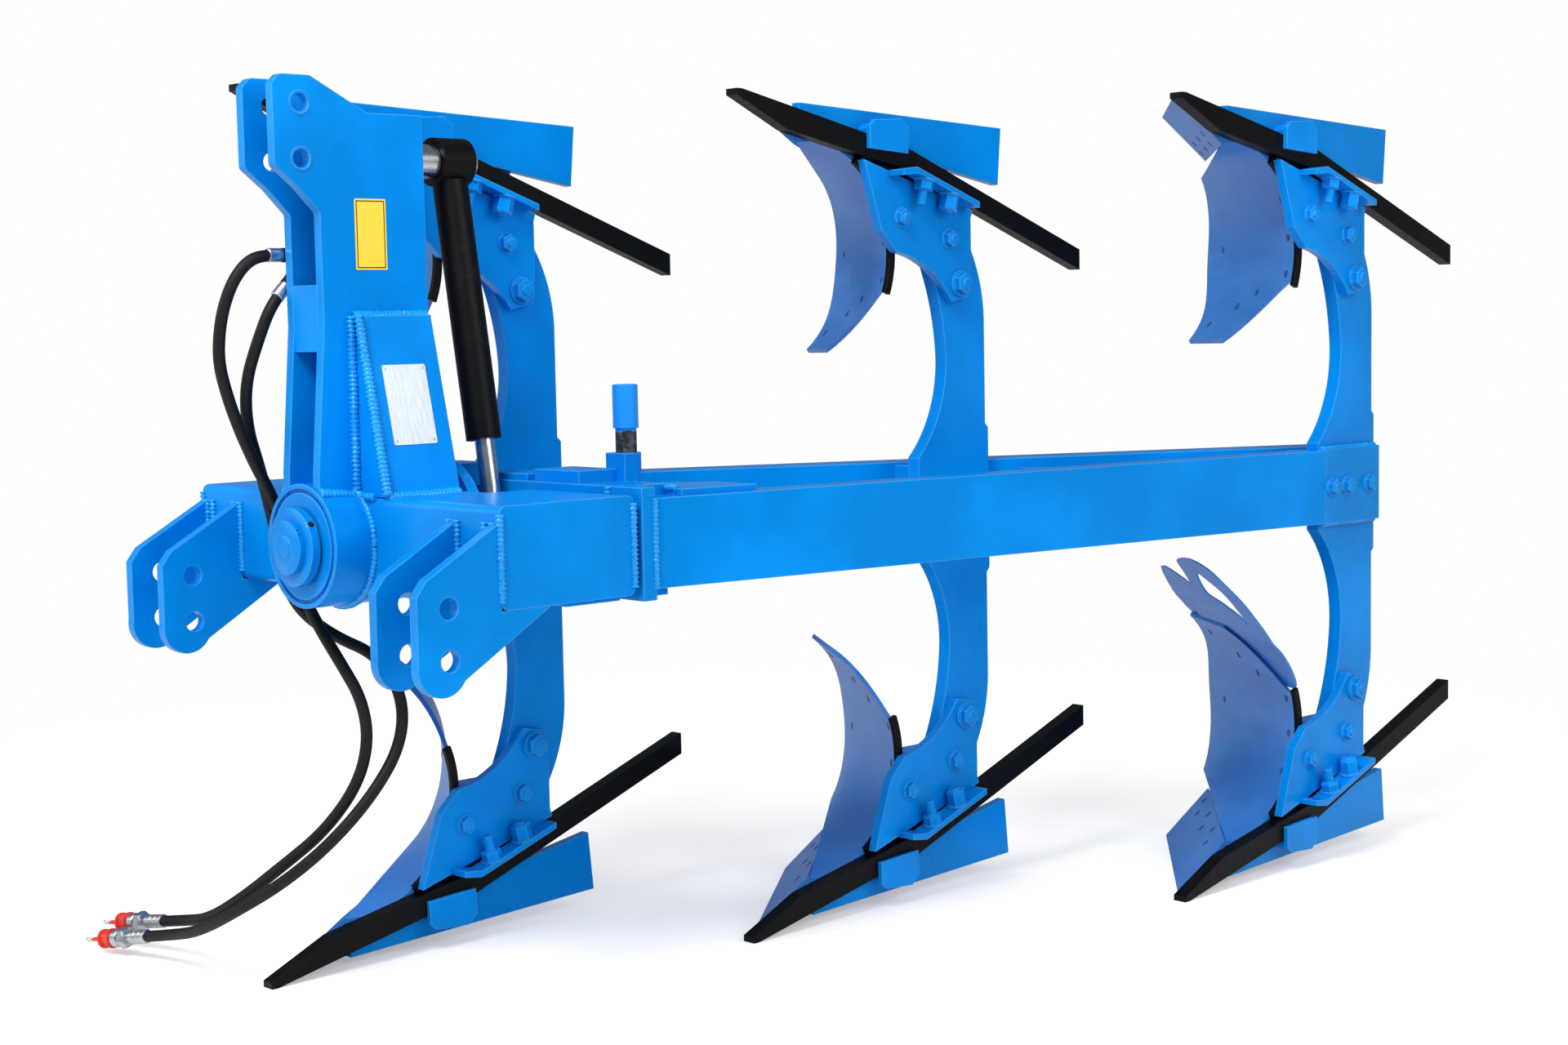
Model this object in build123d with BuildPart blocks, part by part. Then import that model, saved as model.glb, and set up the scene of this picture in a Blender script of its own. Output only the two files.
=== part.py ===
"""Three-furrow mounted reversible mouldboard plough.

The pieces are drawn in a working frame whose Y axis is the turnover axis: +X is the plough's left
(the landside of every body), -Y is forward, towards the tractor, and +Z is up. At the end every
piece is moved so that the origin is the middle of the footprint, on the ground.
"""
import os
from math import cos, radians, sin, tan

from build123d import *

os.makedirs("parts", exist_ok=True)

# --- Overall layout -------------------------------------------------------------------------
AXIS_HEIGHT = 826.0  # turnover axis above the ground
BODY_COUNT = 3
BODY_PITCH = 822.0  # from one body to the next, along the turnover axis
BODY_STEP = 420.0  # from one body to the next, sideways: the width one body ploughs
FIRST_LEG_X = -150.0  # middle of the first leg's plate
FIRST_LEG_Y = 650.0  # upper leg bolt of the first leg

# --- Headstock ------------------------------------------------------------------------------
BOX_LENGTH = 964.0  # across the tractor
BOX_FRONT = 140.0
BOX_DEPTH = 290.0
BOX_HEIGHT = 176.0
BOX_WALL = 12.0
BOX_ROUND = 14.0
POCKET_WIDTH = 420.0  # recess in the box's rear, where the turnover cylinder hangs
POCKET_DEPTH = 98.0
HUB_RADIUS = 112.0
HUB_FRONT = 59.0
HUB_GROOVE_DEPTH = 8.0
SHAFT_RADIUS = 60.0
SHAFT_CLEARANCE = 0.1
MAST_GAP = 78.0
MAST_PLATE = 20.0
MAST_TOP = 828.0
MAST_REAR = 306.0
MAST_HOLE_Y = 50.0
MAST_HOLES = (683.0, 780.0)
TOP_PIN_HOLE = 32.5
EAR_GAP = 98.0
EAR_PLATE = 20.0
LINK_SPREAD = 825.0
LINK_HOLE_Y = 33.0
LINK_HOLES = (-160.0, -73.0)
LINK_PIN_HOLE = 37.4
GUSSET_BASE = 92.0
GUSSET_TOP = 16.0
GUSSET_HEIGHT = 320.0
GUSSET_DEPTH = 155.0
GUSSET_WALL = 10.0

PAD_X = 410.0
PAD_WIDTH = 90.0
PAD_DEPTH = 120.0
PAD_PLATE = 10.0
PORT_Y = 112.0  # front face of the block that the hoses screw into
PORT_DEPTH = 50.0
PORT_X_OFFSET = 16.0  # from the mast's far side to the hoses' middle
HOSE_PORTS = (520.0, 484.0)

# --- Turnover gear --------------------------------------------------------------------------
TURN_GAP = 6.0  # between the hub's rear face and the turning head
COLLAR_RADIUS = 70.0
COLLAR_LENGTH = 18.0
NUT_RADIUS = 48.0
NUT_LENGTH = 12.0
HEAD_RADIUS = 150.0
HEAD_PLATE = 22.0
CYLINDER_SPACE = 82.0  # between the head's disc and the cross beam, where the cylinder swings
SPACER_INNER = 90.0
SPACER_HEIGHT = 42.0
SPACER_WIDTH = 90.0
CRANK_RADIUS = 120.0
CRANK_PIN_RADIUS = 16.0
PIVOT_HEIGHT = 690.0
PIVOT_PIN_RADIUS = 20.0
PIN_CLEARANCE = 0.1
BARREL_RADIUS = 33.0
BARREL_END = 520.0  # gland end of the barrel, from its pivot
UPPER_EYE_RADIUS = 45.0
LOWER_EYE_RADIUS = 30.0
EYE_WIDTH = 70.0
ROD_RADIUS = 18.0
ROD_CLEARANCE = 0.1

# --- Turning frame --------------------------------------------------------------------------
CROSS_BEAM_DEPTH = 98.0
CROSS_BEAM_HEIGHT = 200.0
CROSS_BEAM_FAR = -420.0
BEAM_WALL = 8.0
BEAM_HEIGHT = 160.0
NEAR_BEAM_WIDTH = 60.0
NEAR_BEAM_FRONT_X = 490.0  # its outer face at the flange
FLANGE_WIDTH = 92.0
FLANGE_PLATE = 30.0
FAR_BEAM_WIDTH = 112.0  # measured along X
FAR_BEAM_OFFSET = 70.0  # from the line of the legs to the beam's inner face, along X
LEG_PLATE = 30.0
LEG_FRONT = -110.0  # front edge of a leg where it meets the frame, from its upper bolt
LEG_REAR = 97.0
LEG_STEP = 9.0  # how far the clamped middle of a leg stands out behind its ends
LEG_STEP_HEIGHT = 150.0
BRACKET_HEIGHT = 150.0
END_PLATE = 20.0
PIVOT_BUSH_X = 300.0
PIVOT_BUSH_RADIUS = 27.0
PIVOT_BUSH_TOP = 150.0
BRACKET_X = 238.0  # middle of the bracket beside the bush, on the cross beam
BRACKET_WIDTH = 130.0
BRACKET_TOP = 22.0
REST_X = 90.0
REST_WIDTH = 120.0
REST_TOP = 12.0
TOP_PLATE_DEPTH = 88.0
SWIVEL_PIN_RADIUS = 19.5
SWIVEL_SLEEVE_RADIUS = 23.5

# --- Plough bodies, from a leg's middle plane and upper bolt ------------------------------------
SHARE_ANGLE = 40.0  # the share's edge, from straight back
EDGE_START_Y = -600.0  # where the share's cutting edge meets the bar point
SHARE_SLOPE = 44.0
SHARE_WIDTH = 140.0
SHARE_EDGE = 600.0  # length of the cutting edge
SHARE_TOP = 690.0  # length of the upper edge, where the mouldboard starts
SHARE_PLATE = 12.0
MOULDBOARD_PLATE = 10.0
SHIN_ARC = (-398.0, 308.0, 217.0, -100.0, 62.0)  # middle, radius and end angles beside the bar
TAIL_ARC = (-200.0, 270.0, 290.0, -36.0, 55.0)  # the same, at the mouldboard's tail
TAIL_OUT = 405.0  # from the shin's section out to the tail's
TAIL_OVER = 1.2  # the surface runs on past the tail's section before it is trimmed
MOULDBOARD_OUTLINE = (
    (10, 372),
    (-95, 428),
    (-215, 520),
    (-330, 580),
    (-365, 560),
    (-385, 470),
    (-440, 330),
    (-425, 220),
    (-365, 96),
)
BAR_WIDTH = 30.0
BAR_DEPTH = 44.0
BAR_SIDE = 5.0  # the bar's furrow side
BAR_TIP_Y = -617.0
BAR_NOSE = 14.0  # flat worn under the tip
BAR_BEVEL_Y = -485.0
BAR_BEVEL_Z = 73.0
BAR_KNEE_Y = -150.0
BAR_KNEE_Z = 97.0
BAR_END_Y = 391.0
BAR_END_Z = 299.0
FROG_PLATE = 20.0
FROG_CORE = 40.0
LANDSIDE_PLATE = 20.0
LANDSIDE_PROFILE = (
    (-425, 16),
    (168, 43),
    (157, 163),
    (-30, 130),
    (-60, 152),
    (-240, 100),
    (-425, 52),
)
COVER_PLATE = 10.0
CLAMP_PLATE = 12.0
CLAMP_WIDTH = 42.0
STRIP_PROUD = 6.0
STRIP_WIDTH = 10.0
STRIP_LOW = -57.5  # angles on the shin's arc where the wearing strip starts and ends
STRIP_HIGH = 22.0
STAY_HEIGHT = -570.0
STAY_OUT = 240.0
STAY_RISE = 240.0
STAY_RADIUS = 13.0

# --- Hoses ------------------------------------------------------------------------------------
HOSE_DIAMETER = 22.0
NIPPLE_LENGTH = 28.0
HOSE_FIRST_RUN = 40.0
HOSE_FIRST_STEP = 30.0  # the lower hose leaves its elbow 45 degrees down
FERRULE_LENGTH = 54.0
COUPLER_LENGTH = 46.0
CAP_LENGTH = 47.0

# --- Worked out ---------------------------------------------------------------------------------
GROUND = -AXIS_HEIGHT
box_rear = BOX_FRONT + BOX_DEPTH
hub_rear = box_rear - POCKET_DEPTH
head_front = hub_rear + TURN_GAP
head_rear = head_front + HEAD_PLATE
beam_front = head_rear + CYLINDER_SPACE
beam_rear = beam_front + CROSS_BEAM_DEPTH
cylinder_y = (head_rear + beam_front) / 2
leg_slope = BODY_STEP / BODY_PITCH
stations = [(FIRST_LEG_X + i * BODY_STEP, FIRST_LEG_Y + i * BODY_PITCH) for i in range(BODY_COUNT)]
last_x, last_y = stations[-1]
frame_end_y = last_y + LEG_REAR

port_x = -MAST_GAP / 2 - MAST_PLATE - PORT_X_OFFSET
elbow = NIPPLE_LENGTH * cos(radians(45))
port_starts = (
    (port_x, PORT_Y - NIPPLE_LENGTH, HOSE_PORTS[0]),
    (port_x, PORT_Y - elbow, HOSE_PORTS[1] - elbow),
)

finished = []


def keep(part, name):
    """Label a finished piece and put it on the list that is moved and written at the end."""
    part.label = name
    finished.append(part)


def side_plane(x):
    """A plane across X whose own axes are the plough's Y and Z."""
    return Plane.YZ.offset(x)


def front_plane(y):
    """A plane across Y whose own axes are the plough's X and Z; extrude minus goes back."""
    return Plane.XZ.offset(-y)


def leg_line(y):
    """X of the slanting line through all the legs at a given Y."""
    return FIRST_LEG_X + (y - FIRST_LEG_Y) * leg_slope


def bar_bottom(y):
    """Height of a bar point's lower edge above the ground, at Y from the leg's upper bolt."""
    nose = BAR_TIP_Y + BAR_NOSE
    if y < BAR_KNEE_Y:
        return (y - nose) * BAR_KNEE_Z / (BAR_KNEE_Y - nose)
    return BAR_KNEE_Z + (y - BAR_KNEE_Y) * (BAR_END_Z - BAR_KNEE_Z) / (BAR_END_Y - BAR_KNEE_Y)


def write_pair(build, name):
    """Keep the lower bodies' pieces and their mirror images on the upper bodies."""
    keep(build.part, name + "_lower")
    with BuildPart() as upper:
        mirror(build.part, about=Plane.XY)
    keep(upper.part, name + "_upper")


# --- Headstock ------------------------------------------------------------------------------
with BuildPart() as cross_boxes:
    with BuildSketch(Plane.XY.offset(-BOX_HEIGHT / 2)):
        with Locations((0, BOX_FRONT + BOX_DEPTH / 2)):
            Rectangle(BOX_LENGTH, BOX_DEPTH)
        with Locations((0, box_rear - POCKET_DEPTH / 2)):
            Rectangle(POCKET_WIDTH, POCKET_DEPTH, mode=Mode.SUBTRACT)
    extrude(amount=BOX_HEIGHT)
    fillet(cross_boxes.edges().filter_by(Axis.X), BOX_ROUND)
    with BuildSketch(Plane.XY.offset(-BOX_HEIGHT / 2 + BOX_WALL)):
        with Locations((0, BOX_FRONT + BOX_DEPTH / 2)):
            Rectangle(BOX_LENGTH - 2 * BOX_WALL, BOX_DEPTH - 2 * BOX_WALL)
        with Locations((0, box_rear - POCKET_DEPTH / 2)):
            Rectangle(
                POCKET_WIDTH + 2 * BOX_WALL, POCKET_DEPTH + 2 * BOX_WALL, mode=Mode.SUBTRACT
            )
    extrude(amount=BOX_HEIGHT - 2 * BOX_WALL, mode=Mode.SUBTRACT)
    with BuildSketch(front_plane(BOX_FRONT)):
        Circle(HUB_RADIUS)
    extrude(amount=-BOX_DEPTH, mode=Mode.SUBTRACT)
keep(cross_boxes.part, "cross_boxes")

with BuildPart() as hub_tube:
    bore = SHAFT_RADIUS + SHAFT_CLEARANCE
    with BuildSketch(Plane.XY):
        with BuildLine():
            Polyline(
                (bore, HUB_FRONT),
                (96, HUB_FRONT),
                (96, HUB_FRONT + HUB_GROOVE_DEPTH),
                (104, HUB_FRONT + HUB_GROOVE_DEPTH),
                (104, HUB_FRONT),
                (HUB_RADIUS, HUB_FRONT),
                (HUB_RADIUS, hub_rear),
                (bore, hub_rear),
                (bore, hub_rear - 50),
                (90, hub_rear - 60),
                (90, HUB_FRONT + 60),
                (bore, HUB_FRONT + 50),
                close=True,
            )
        make_face()
    revolve(axis=Axis.Y)
keep(hub_tube.part, "hub_tube")

with BuildPart() as mast_plates:
    for inner in (MAST_GAP / 2, -MAST_GAP / 2 - MAST_PLATE):
        with BuildSketch(side_plane(inner)):
            with BuildLine():
                Polyline(
                    (12, MAST_TOP),
                    (72, MAST_TOP),
                    (188, MAST_TOP - 60),
                    (MAST_REAR, MAST_TOP - 60),
                    (MAST_REAR, 60),
                    (HUB_FRONT + 4, 60),
                    (HUB_FRONT + 4, 130),
                    (84, 390),
                    (84, 590),
                    (40, 635),
                    (-4, 670),
                    (-4, MAST_TOP - 16),
                    close=True,
                )
            corners = make_face().vertices()
            fillet(corners.filter_by(lambda v: v.Y > 380 and v.X < 200), 12)
            with Locations(*[(MAST_HOLE_Y, z) for z in MAST_HOLES]):
                Circle(TOP_PIN_HOLE / 2, mode=Mode.SUBTRACT)
        extrude(amount=MAST_PLATE)
    with BuildSketch(front_plane(0)):
        Circle(HUB_RADIUS)
    extrude(amount=-box_rear, mode=Mode.SUBTRACT)
keep(mast_plates.part, "mast_plates")

with BuildPart() as mast_webs:
    with Locations((0, 84 + 6, 405)):
        Box(MAST_GAP, 12, 118)
    with Locations((0, MAST_REAR - 10, MAST_TOP - 60 - 80)):
        Box(MAST_GAP, 20, 160)
    with Locations((0, MAST_REAR - 10, 260)):
        Box(MAST_GAP, 20, 200)
keep(mast_webs.part, "mast_webs")

with BuildPart() as mast_gussets:
    mast_side = MAST_GAP / 2 + MAST_PLATE
    outline = [
        (mast_side, BOX_HEIGHT / 2),
        (mast_side + GUSSET_BASE, BOX_HEIGHT / 2),
        (mast_side + GUSSET_TOP, BOX_HEIGHT / 2 + GUSSET_HEIGHT),
        (mast_side, BOX_HEIGHT / 2 + GUSSET_HEIGHT),
    ]
    with BuildSketch(front_plane(BOX_FRONT + 5)):
        Polygon(*outline, align=None)
    extrude(amount=-GUSSET_DEPTH)
    with BuildSketch(front_plane(BOX_FRONT + 5 + GUSSET_WALL)):
        inner = Polygon(*outline, align=None, mode=Mode.PRIVATE)
        offset(inner, amount=-GUSSET_WALL, kind=Kind.INTERSECTION)
    extrude(amount=-(GUSSET_DEPTH - 2 * GUSSET_WALL), mode=Mode.SUBTRACT)
    with BuildSketch(front_plane(0)):
        Circle(HUB_RADIUS)
    extrude(amount=-box_rear, mode=Mode.SUBTRACT)
    mirror(about=Plane.YZ)
keep(mast_gussets.part, "mast_gussets")

for side, sign in (("left", 1), ("right", -1)):
    with BuildPart() as link_ears:
        for x in (EAR_GAP / 2, -EAR_GAP / 2 - EAR_PLATE):
            with BuildSketch(side_plane(sign * LINK_SPREAD / 2 + x)):
                with BuildLine():
                    Polyline(
                        (BOX_FRONT, 60),
                        (-10, -24),
                        (-30, -50),
                        (-30, LINK_HOLES[0]),
                    )
                    RadiusArc((-30, LINK_HOLES[0]), (62, -195), -50)
                    Polyline(
                        (62, -195),
                        (245, -BOX_HEIGHT / 2),
                        (BOX_FRONT, -BOX_HEIGHT / 2),
                        (BOX_FRONT, 60),
                    )
                make_face()
                with Locations(*[(LINK_HOLE_Y, z) for z in LINK_HOLES]):
                    Circle(LINK_PIN_HOLE / 2, mode=Mode.SUBTRACT)
            extrude(amount=EAR_PLATE)
    keep(link_ears.part, f"link_ears_{side}")

with BuildPart() as box_pads:
    for middle in (PAD_X, -PAD_X):
        with Locations((middle, box_rear - BOX_ROUND - PAD_DEPTH / 2, -BOX_HEIGHT / 2 - PAD_PLATE / 2)):
            Box(PAD_WIDTH, PAD_DEPTH, PAD_PLATE)
keep(box_pads.part, "box_pads")

with BuildPart() as hose_ports:
    with BuildSketch(side_plane(-MAST_GAP / 2 - MAST_PLATE)):
        with Locations((PORT_Y + PORT_DEPTH / 2, (HOSE_PORTS[0] + HOSE_PORTS[1]) / 2)):
            RectangleRounded(PORT_DEPTH, HOSE_PORTS[0] - HOSE_PORTS[1] + 40, 6)
    extrude(amount=-2 * (PORT_X_OFFSET))
    for start, aim in zip(port_starts, ((0, -1, 0), (0, -1, -1))):
        nipple = Plane(origin=start, z_dir=aim)
        with BuildSketch(nipple):
            Circle(HOSE_DIAMETER / 2 + 2)
        extrude(amount=-NIPPLE_LENGTH)
        with BuildSketch(nipple.offset(-NIPPLE_LENGTH / 2)):
            RegularPolygon(HOSE_DIAMETER / 2 + 4, 6)
        extrude(amount=-NIPPLE_LENGTH / 2 - 6)
keep(hose_ports.part, "hose_ports")

with BuildPart() as cylinder_pivot_pin:
    with BuildSketch(front_plane(MAST_REAR)):
        with Locations((0, PIVOT_HEIGHT)):
            Circle(PIVOT_PIN_RADIUS + 12)
    extrude(amount=-(cylinder_y - EYE_WIDTH / 2 - 1 - MAST_REAR))
    with BuildSketch(front_plane(MAST_REAR)):
        with Locations((0, PIVOT_HEIGHT)):
            Circle(PIVOT_PIN_RADIUS)
    extrude(amount=-(cylinder_y + EYE_WIDTH / 2 + 1 - MAST_REAR))
    with BuildSketch(front_plane(cylinder_y + EYE_WIDTH / 2 + 1)):
        with Locations((0, PIVOT_HEIGHT)):
            Circle(PIVOT_PIN_RADIUS + 10)
    extrude(amount=-12)
keep(cylinder_pivot_pin.part, "cylinder_pivot_pin")

# --- Turnover gear --------------------------------------------------------------------------
with BuildPart() as turnover_shaft:
    collar_back = HUB_FRONT - 5
    nut_back = collar_back - COLLAR_LENGTH
    with BuildSketch(Plane.XY):
        with BuildLine():
            Polyline(
                (0, nut_back - NUT_LENGTH + 6),
                (20, nut_back - NUT_LENGTH + 6),
                (20, nut_back - NUT_LENGTH),
                (NUT_RADIUS, nut_back - NUT_LENGTH),
                (NUT_RADIUS, nut_back),
                (COLLAR_RADIUS, nut_back),
                (COLLAR_RADIUS, collar_back),
                (SHAFT_RADIUS, collar_back),
                (SHAFT_RADIUS, head_front),
                (0, head_front),
                close=True,
            )
        make_face()
    revolve(axis=Axis.Y)
keep(turnover_shaft.part, "turnover_shaft")

with BuildPart() as turnover_head:
    with BuildSketch(front_plane(head_front)):
        Circle(HEAD_RADIUS)
        with Locations((CRANK_RADIUS, 0)):
            Circle(CRANK_PIN_RADIUS + PIN_CLEARANCE, mode=Mode.SUBTRACT)
    extrude(amount=-HEAD_PLATE)
    with BuildSketch(front_plane(head_rear)):
        for middle in (SPACER_INNER + SPACER_HEIGHT / 2, -SPACER_INNER - SPACER_HEIGHT / 2):
            with Locations((0, middle)):
                Rectangle(SPACER_WIDTH, SPACER_HEIGHT)
    extrude(amount=-CYLINDER_SPACE)
keep(turnover_head.part, "turnover_head")

# --- Turnover cylinder ----------------------------------------------------------------------
pivot = Vector(0, cylinder_y, PIVOT_HEIGHT)
crank_pin = Vector(CRANK_RADIUS, cylinder_y, 0)
cylinder_plane = Plane(origin=pivot, x_dir=(0, 1, 0), z_dir=crank_pin - pivot)
cylinder_length = (crank_pin - pivot).length

with BuildPart() as cylinder_barrel:
    with BuildSketch(front_plane(cylinder_y - EYE_WIDTH / 2)):
        with Locations((0, PIVOT_HEIGHT)):
            Circle(UPPER_EYE_RADIUS)
    extrude(amount=-EYE_WIDTH)
    with BuildSketch(cylinder_plane.offset(UPPER_EYE_RADIUS - 8)):
        Circle(BARREL_RADIUS)
    extrude(amount=BARREL_END - UPPER_EYE_RADIUS + 8)
    with BuildSketch(front_plane(cylinder_y - EYE_WIDTH / 2)):
        with Locations((0, PIVOT_HEIGHT)):
            Circle(PIVOT_PIN_RADIUS + PIN_CLEARANCE)
    extrude(amount=-EYE_WIDTH, mode=Mode.SUBTRACT)
    with BuildSketch(cylinder_plane.offset(BARREL_END)):
        Circle(ROD_RADIUS + ROD_CLEARANCE)
    extrude(amount=-(BARREL_END - 2 * UPPER_EYE_RADIUS), mode=Mode.SUBTRACT)
keep(cylinder_barrel.part, "cylinder_barrel")

with BuildPart() as cylinder_rod:
    with BuildSketch(cylinder_plane.offset(BARREL_END - 200)):
        Circle(ROD_RADIUS)
    extrude(amount=cylinder_length - BARREL_END + 200)
    with BuildSketch(front_plane(cylinder_y - EYE_WIDTH / 2)):
        with Locations((CRANK_RADIUS, 0)):
            Circle(LOWER_EYE_RADIUS)
    extrude(amount=-EYE_WIDTH)
    with BuildSketch(front_plane(head_rear + 2)):
        with Locations((CRANK_RADIUS, 0)):
            Circle(CRANK_PIN_RADIUS)
    extrude(amount=-(CYLINDER_SPACE - 4))
keep(cylinder_rod.part, "cylinder_rod")

# --- Turning frame --------------------------------------------------------------------------
near_front = beam_front + FLANGE_PLATE
near_rear = last_y + LEG_FRONT
near_rear_x = last_x + LEG_PLATE / 2 + END_PLATE
near_slope = (near_rear_x - NEAR_BEAM_FRONT_X) / (near_rear - near_front)


def near_face(y):
    """X of the outer face of the long beam on the landside."""
    return NEAR_BEAM_FRONT_X + (y - near_front) * near_slope


def far_face(y):
    """X of the slanting beam's face on the legs' side."""
    return leg_line(y) - FAR_BEAM_OFFSET


def hollow_beam(outline, height, wall):
    """A beam's solid from its plan outline: its full height, hollow and closed at its ends."""
    with BuildPart(mode=Mode.PRIVATE) as beam:
        with BuildSketch(Plane.XY.offset(-height / 2)) as plan:
            Polygon(*outline, align=None)
        extrude(plan.sketch, amount=height)
        with BuildSketch(Plane.XY.offset(-height / 2 + wall)) as hollow:
            offset(Polygon(*outline, align=None, mode=Mode.PRIVATE), amount=-wall, kind=Kind.INTERSECTION)
        extrude(hollow.sketch, amount=height - 2 * wall, mode=Mode.SUBTRACT)
    return beam.part


inner_near = NEAR_BEAM_WIDTH
with BuildPart() as cross_beam:
    add(hollow_beam(
        [
            (CROSS_BEAM_FAR, beam_front),
            (NEAR_BEAM_FRONT_X - FLANGE_WIDTH, beam_front),
            (NEAR_BEAM_FRONT_X - FLANGE_WIDTH, near_front),
            (near_face(near_front) - inner_near, near_front),
            (near_face(beam_rear) - inner_near, beam_rear),
            (CROSS_BEAM_FAR, beam_rear),
        ],
        CROSS_BEAM_HEIGHT,
        BEAM_WALL,
    ))
    with BuildSketch(front_plane(beam_front)):
        with Locations((CRANK_RADIUS, 0)):
            Circle(CRANK_PIN_RADIUS + PIN_CLEARANCE)
    extrude(amount=-BEAM_WALL, mode=Mode.SUBTRACT)
keep(cross_beam.part, "cross_beam")

with BuildPart() as beam_flange:
    with Locations((NEAR_BEAM_FRONT_X - FLANGE_WIDTH / 2, beam_front + FLANGE_PLATE / 2, 0)):
        Box(FLANGE_WIDTH, FLANGE_PLATE, CROSS_BEAM_HEIGHT)
keep(beam_flange.part, "beam_flange")

with BuildPart() as near_beam:
    add(hollow_beam(
        [
            (near_face(near_front), near_front),
            (near_face(near_rear), near_rear),
            (near_face(near_rear) - inner_near, near_rear),
            (near_face(near_front) - inner_near, near_front),
        ],
        BEAM_HEIGHT,
        BEAM_WALL,
    ))
keep(near_beam.part, "near_beam")

with BuildPart() as far_beam:
    add(hollow_beam(
        [
            (far_face(beam_rear), beam_rear),
            (far_face(frame_end_y), frame_end_y),
            (far_face(frame_end_y) - FAR_BEAM_WIDTH, frame_end_y),
            (far_face(beam_rear) - FAR_BEAM_WIDTH, beam_rear),
        ],
        BEAM_HEIGHT,
        BEAM_WALL,
    ))
keep(far_beam.part, "far_beam")

BRACKET_FRONT = -60.0
with BuildPart() as leg_brackets:
    for x, y in stations:
        leg_far = x - LEG_PLATE / 2
        with BuildSketch(Plane.XY.offset(-BRACKET_HEIGHT / 2)):
            Polygon(
                (leg_far, y + BRACKET_FRONT),
                (leg_far, y + LEG_REAR),
                (far_face(y + LEG_REAR), y + LEG_REAR),
                (far_face(y + BRACKET_FRONT), y + BRACKET_FRONT),
                align=None,
            )
        extrude(amount=BRACKET_HEIGHT)
keep(leg_brackets.part, "leg_brackets")

with BuildPart() as frame_braces:
    for middle, half in ((850.0, 30.0), (1685.0, 25.0)):
        with BuildSketch(Plane.XY.offset(-60)):
            Polygon(
                (far_face(middle - half), middle - half),
                (near_face(middle - half) - inner_near, middle - half),
                (near_face(middle + half) - inner_near, middle + half),
                (far_face(middle + half), middle + half),
                align=None,
            )
        extrude(amount=120)
        with BuildSketch(Plane.XY.offset(-60 + BEAM_WALL)):
            with Locations((leg_line(middle) + 200, middle)):
                Rectangle(180, 2 * (half - BEAM_WALL))
        extrude(amount=120 - 2 * BEAM_WALL, mode=Mode.SUBTRACT)
keep(frame_braces.part, "frame_braces")

with BuildPart() as end_plate:
    with BuildSketch(side_plane(last_x + LEG_PLATE / 2)):
        with Locations((last_y + (LEG_FRONT + LEG_REAR) / 2, 0)):
            Rectangle(LEG_REAR - LEG_FRONT, BEAM_HEIGHT + 4)
    extrude(amount=END_PLATE)
keep(end_plate.part, "end_plate")

with BuildPart() as pivot_bush:
    with BuildSketch(Plane.XY.offset(-CROSS_BEAM_HEIGHT / 2)):
        with Locations((PIVOT_BUSH_X, beam_rear + PIVOT_BUSH_RADIUS)):
            Circle(PIVOT_BUSH_RADIUS)
        with Locations((PIVOT_BUSH_X, beam_rear + PIVOT_BUSH_RADIUS / 2)):
            Rectangle(2 * PIVOT_BUSH_RADIUS, PIVOT_BUSH_RADIUS)
        with Locations((PIVOT_BUSH_X, beam_rear + PIVOT_BUSH_RADIUS)):
            Circle(SWIVEL_PIN_RADIUS, mode=Mode.SUBTRACT)
    extrude(amount=CROSS_BEAM_HEIGHT / 2 + PIVOT_BUSH_TOP)
keep(pivot_bush.part, "pivot_bush")

with BuildPart() as beam_top_plates:
    plates = ((BRACKET_X, BRACKET_WIDTH, BRACKET_TOP), (REST_X, REST_WIDTH, REST_TOP))
    for middle, width, height in plates:
        with Locations((middle, beam_rear - TOP_PLATE_DEPTH / 2, (CROSS_BEAM_HEIGHT + height) / 2)):
            Box(width, TOP_PLATE_DEPTH, height)
keep(beam_top_plates.part, "beam_top_plates")

with BuildPart() as swivel_pin:
    with BuildSketch(Plane.XY.offset(-CROSS_BEAM_HEIGHT / 2 - 15)):
        with Locations((PIVOT_BUSH_X, beam_rear + PIVOT_BUSH_RADIUS)):
            Circle(SWIVEL_PIN_RADIUS)
    extrude(amount=CROSS_BEAM_HEIGHT / 2 + 15 + PIVOT_BUSH_TOP + 45)
    with BuildSketch(Plane.XY.offset(PIVOT_BUSH_TOP + 45)):
        with Locations((PIVOT_BUSH_X, beam_rear + PIVOT_BUSH_RADIUS)):
            Circle(SWIVEL_SLEEVE_RADIUS)
    extrude(amount=80)
    chamfer(swivel_pin.edges().group_by(Axis.Z)[-1], 2)
keep(swivel_pin.part, "swivel_pin")

with BuildPart() as tab_plate:
    with BuildSketch(Plane.XY.offset(BEAM_HEIGHT / 2)):
        Polygon(
            (PIVOT_BUSH_X + PIVOT_BUSH_RADIUS, beam_rear),
            (near_face(beam_rear) - 15, beam_rear),
            (near_face(beam_rear + 160) - 15, beam_rear + 160),
            (PIVOT_BUSH_X + 90, beam_rear + 160),
            (PIVOT_BUSH_X + PIVOT_BUSH_RADIUS, beam_rear + 90),
            align=None,
        )
    extrude(amount=12)
keep(tab_plate.part, "tab_plate")

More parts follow.
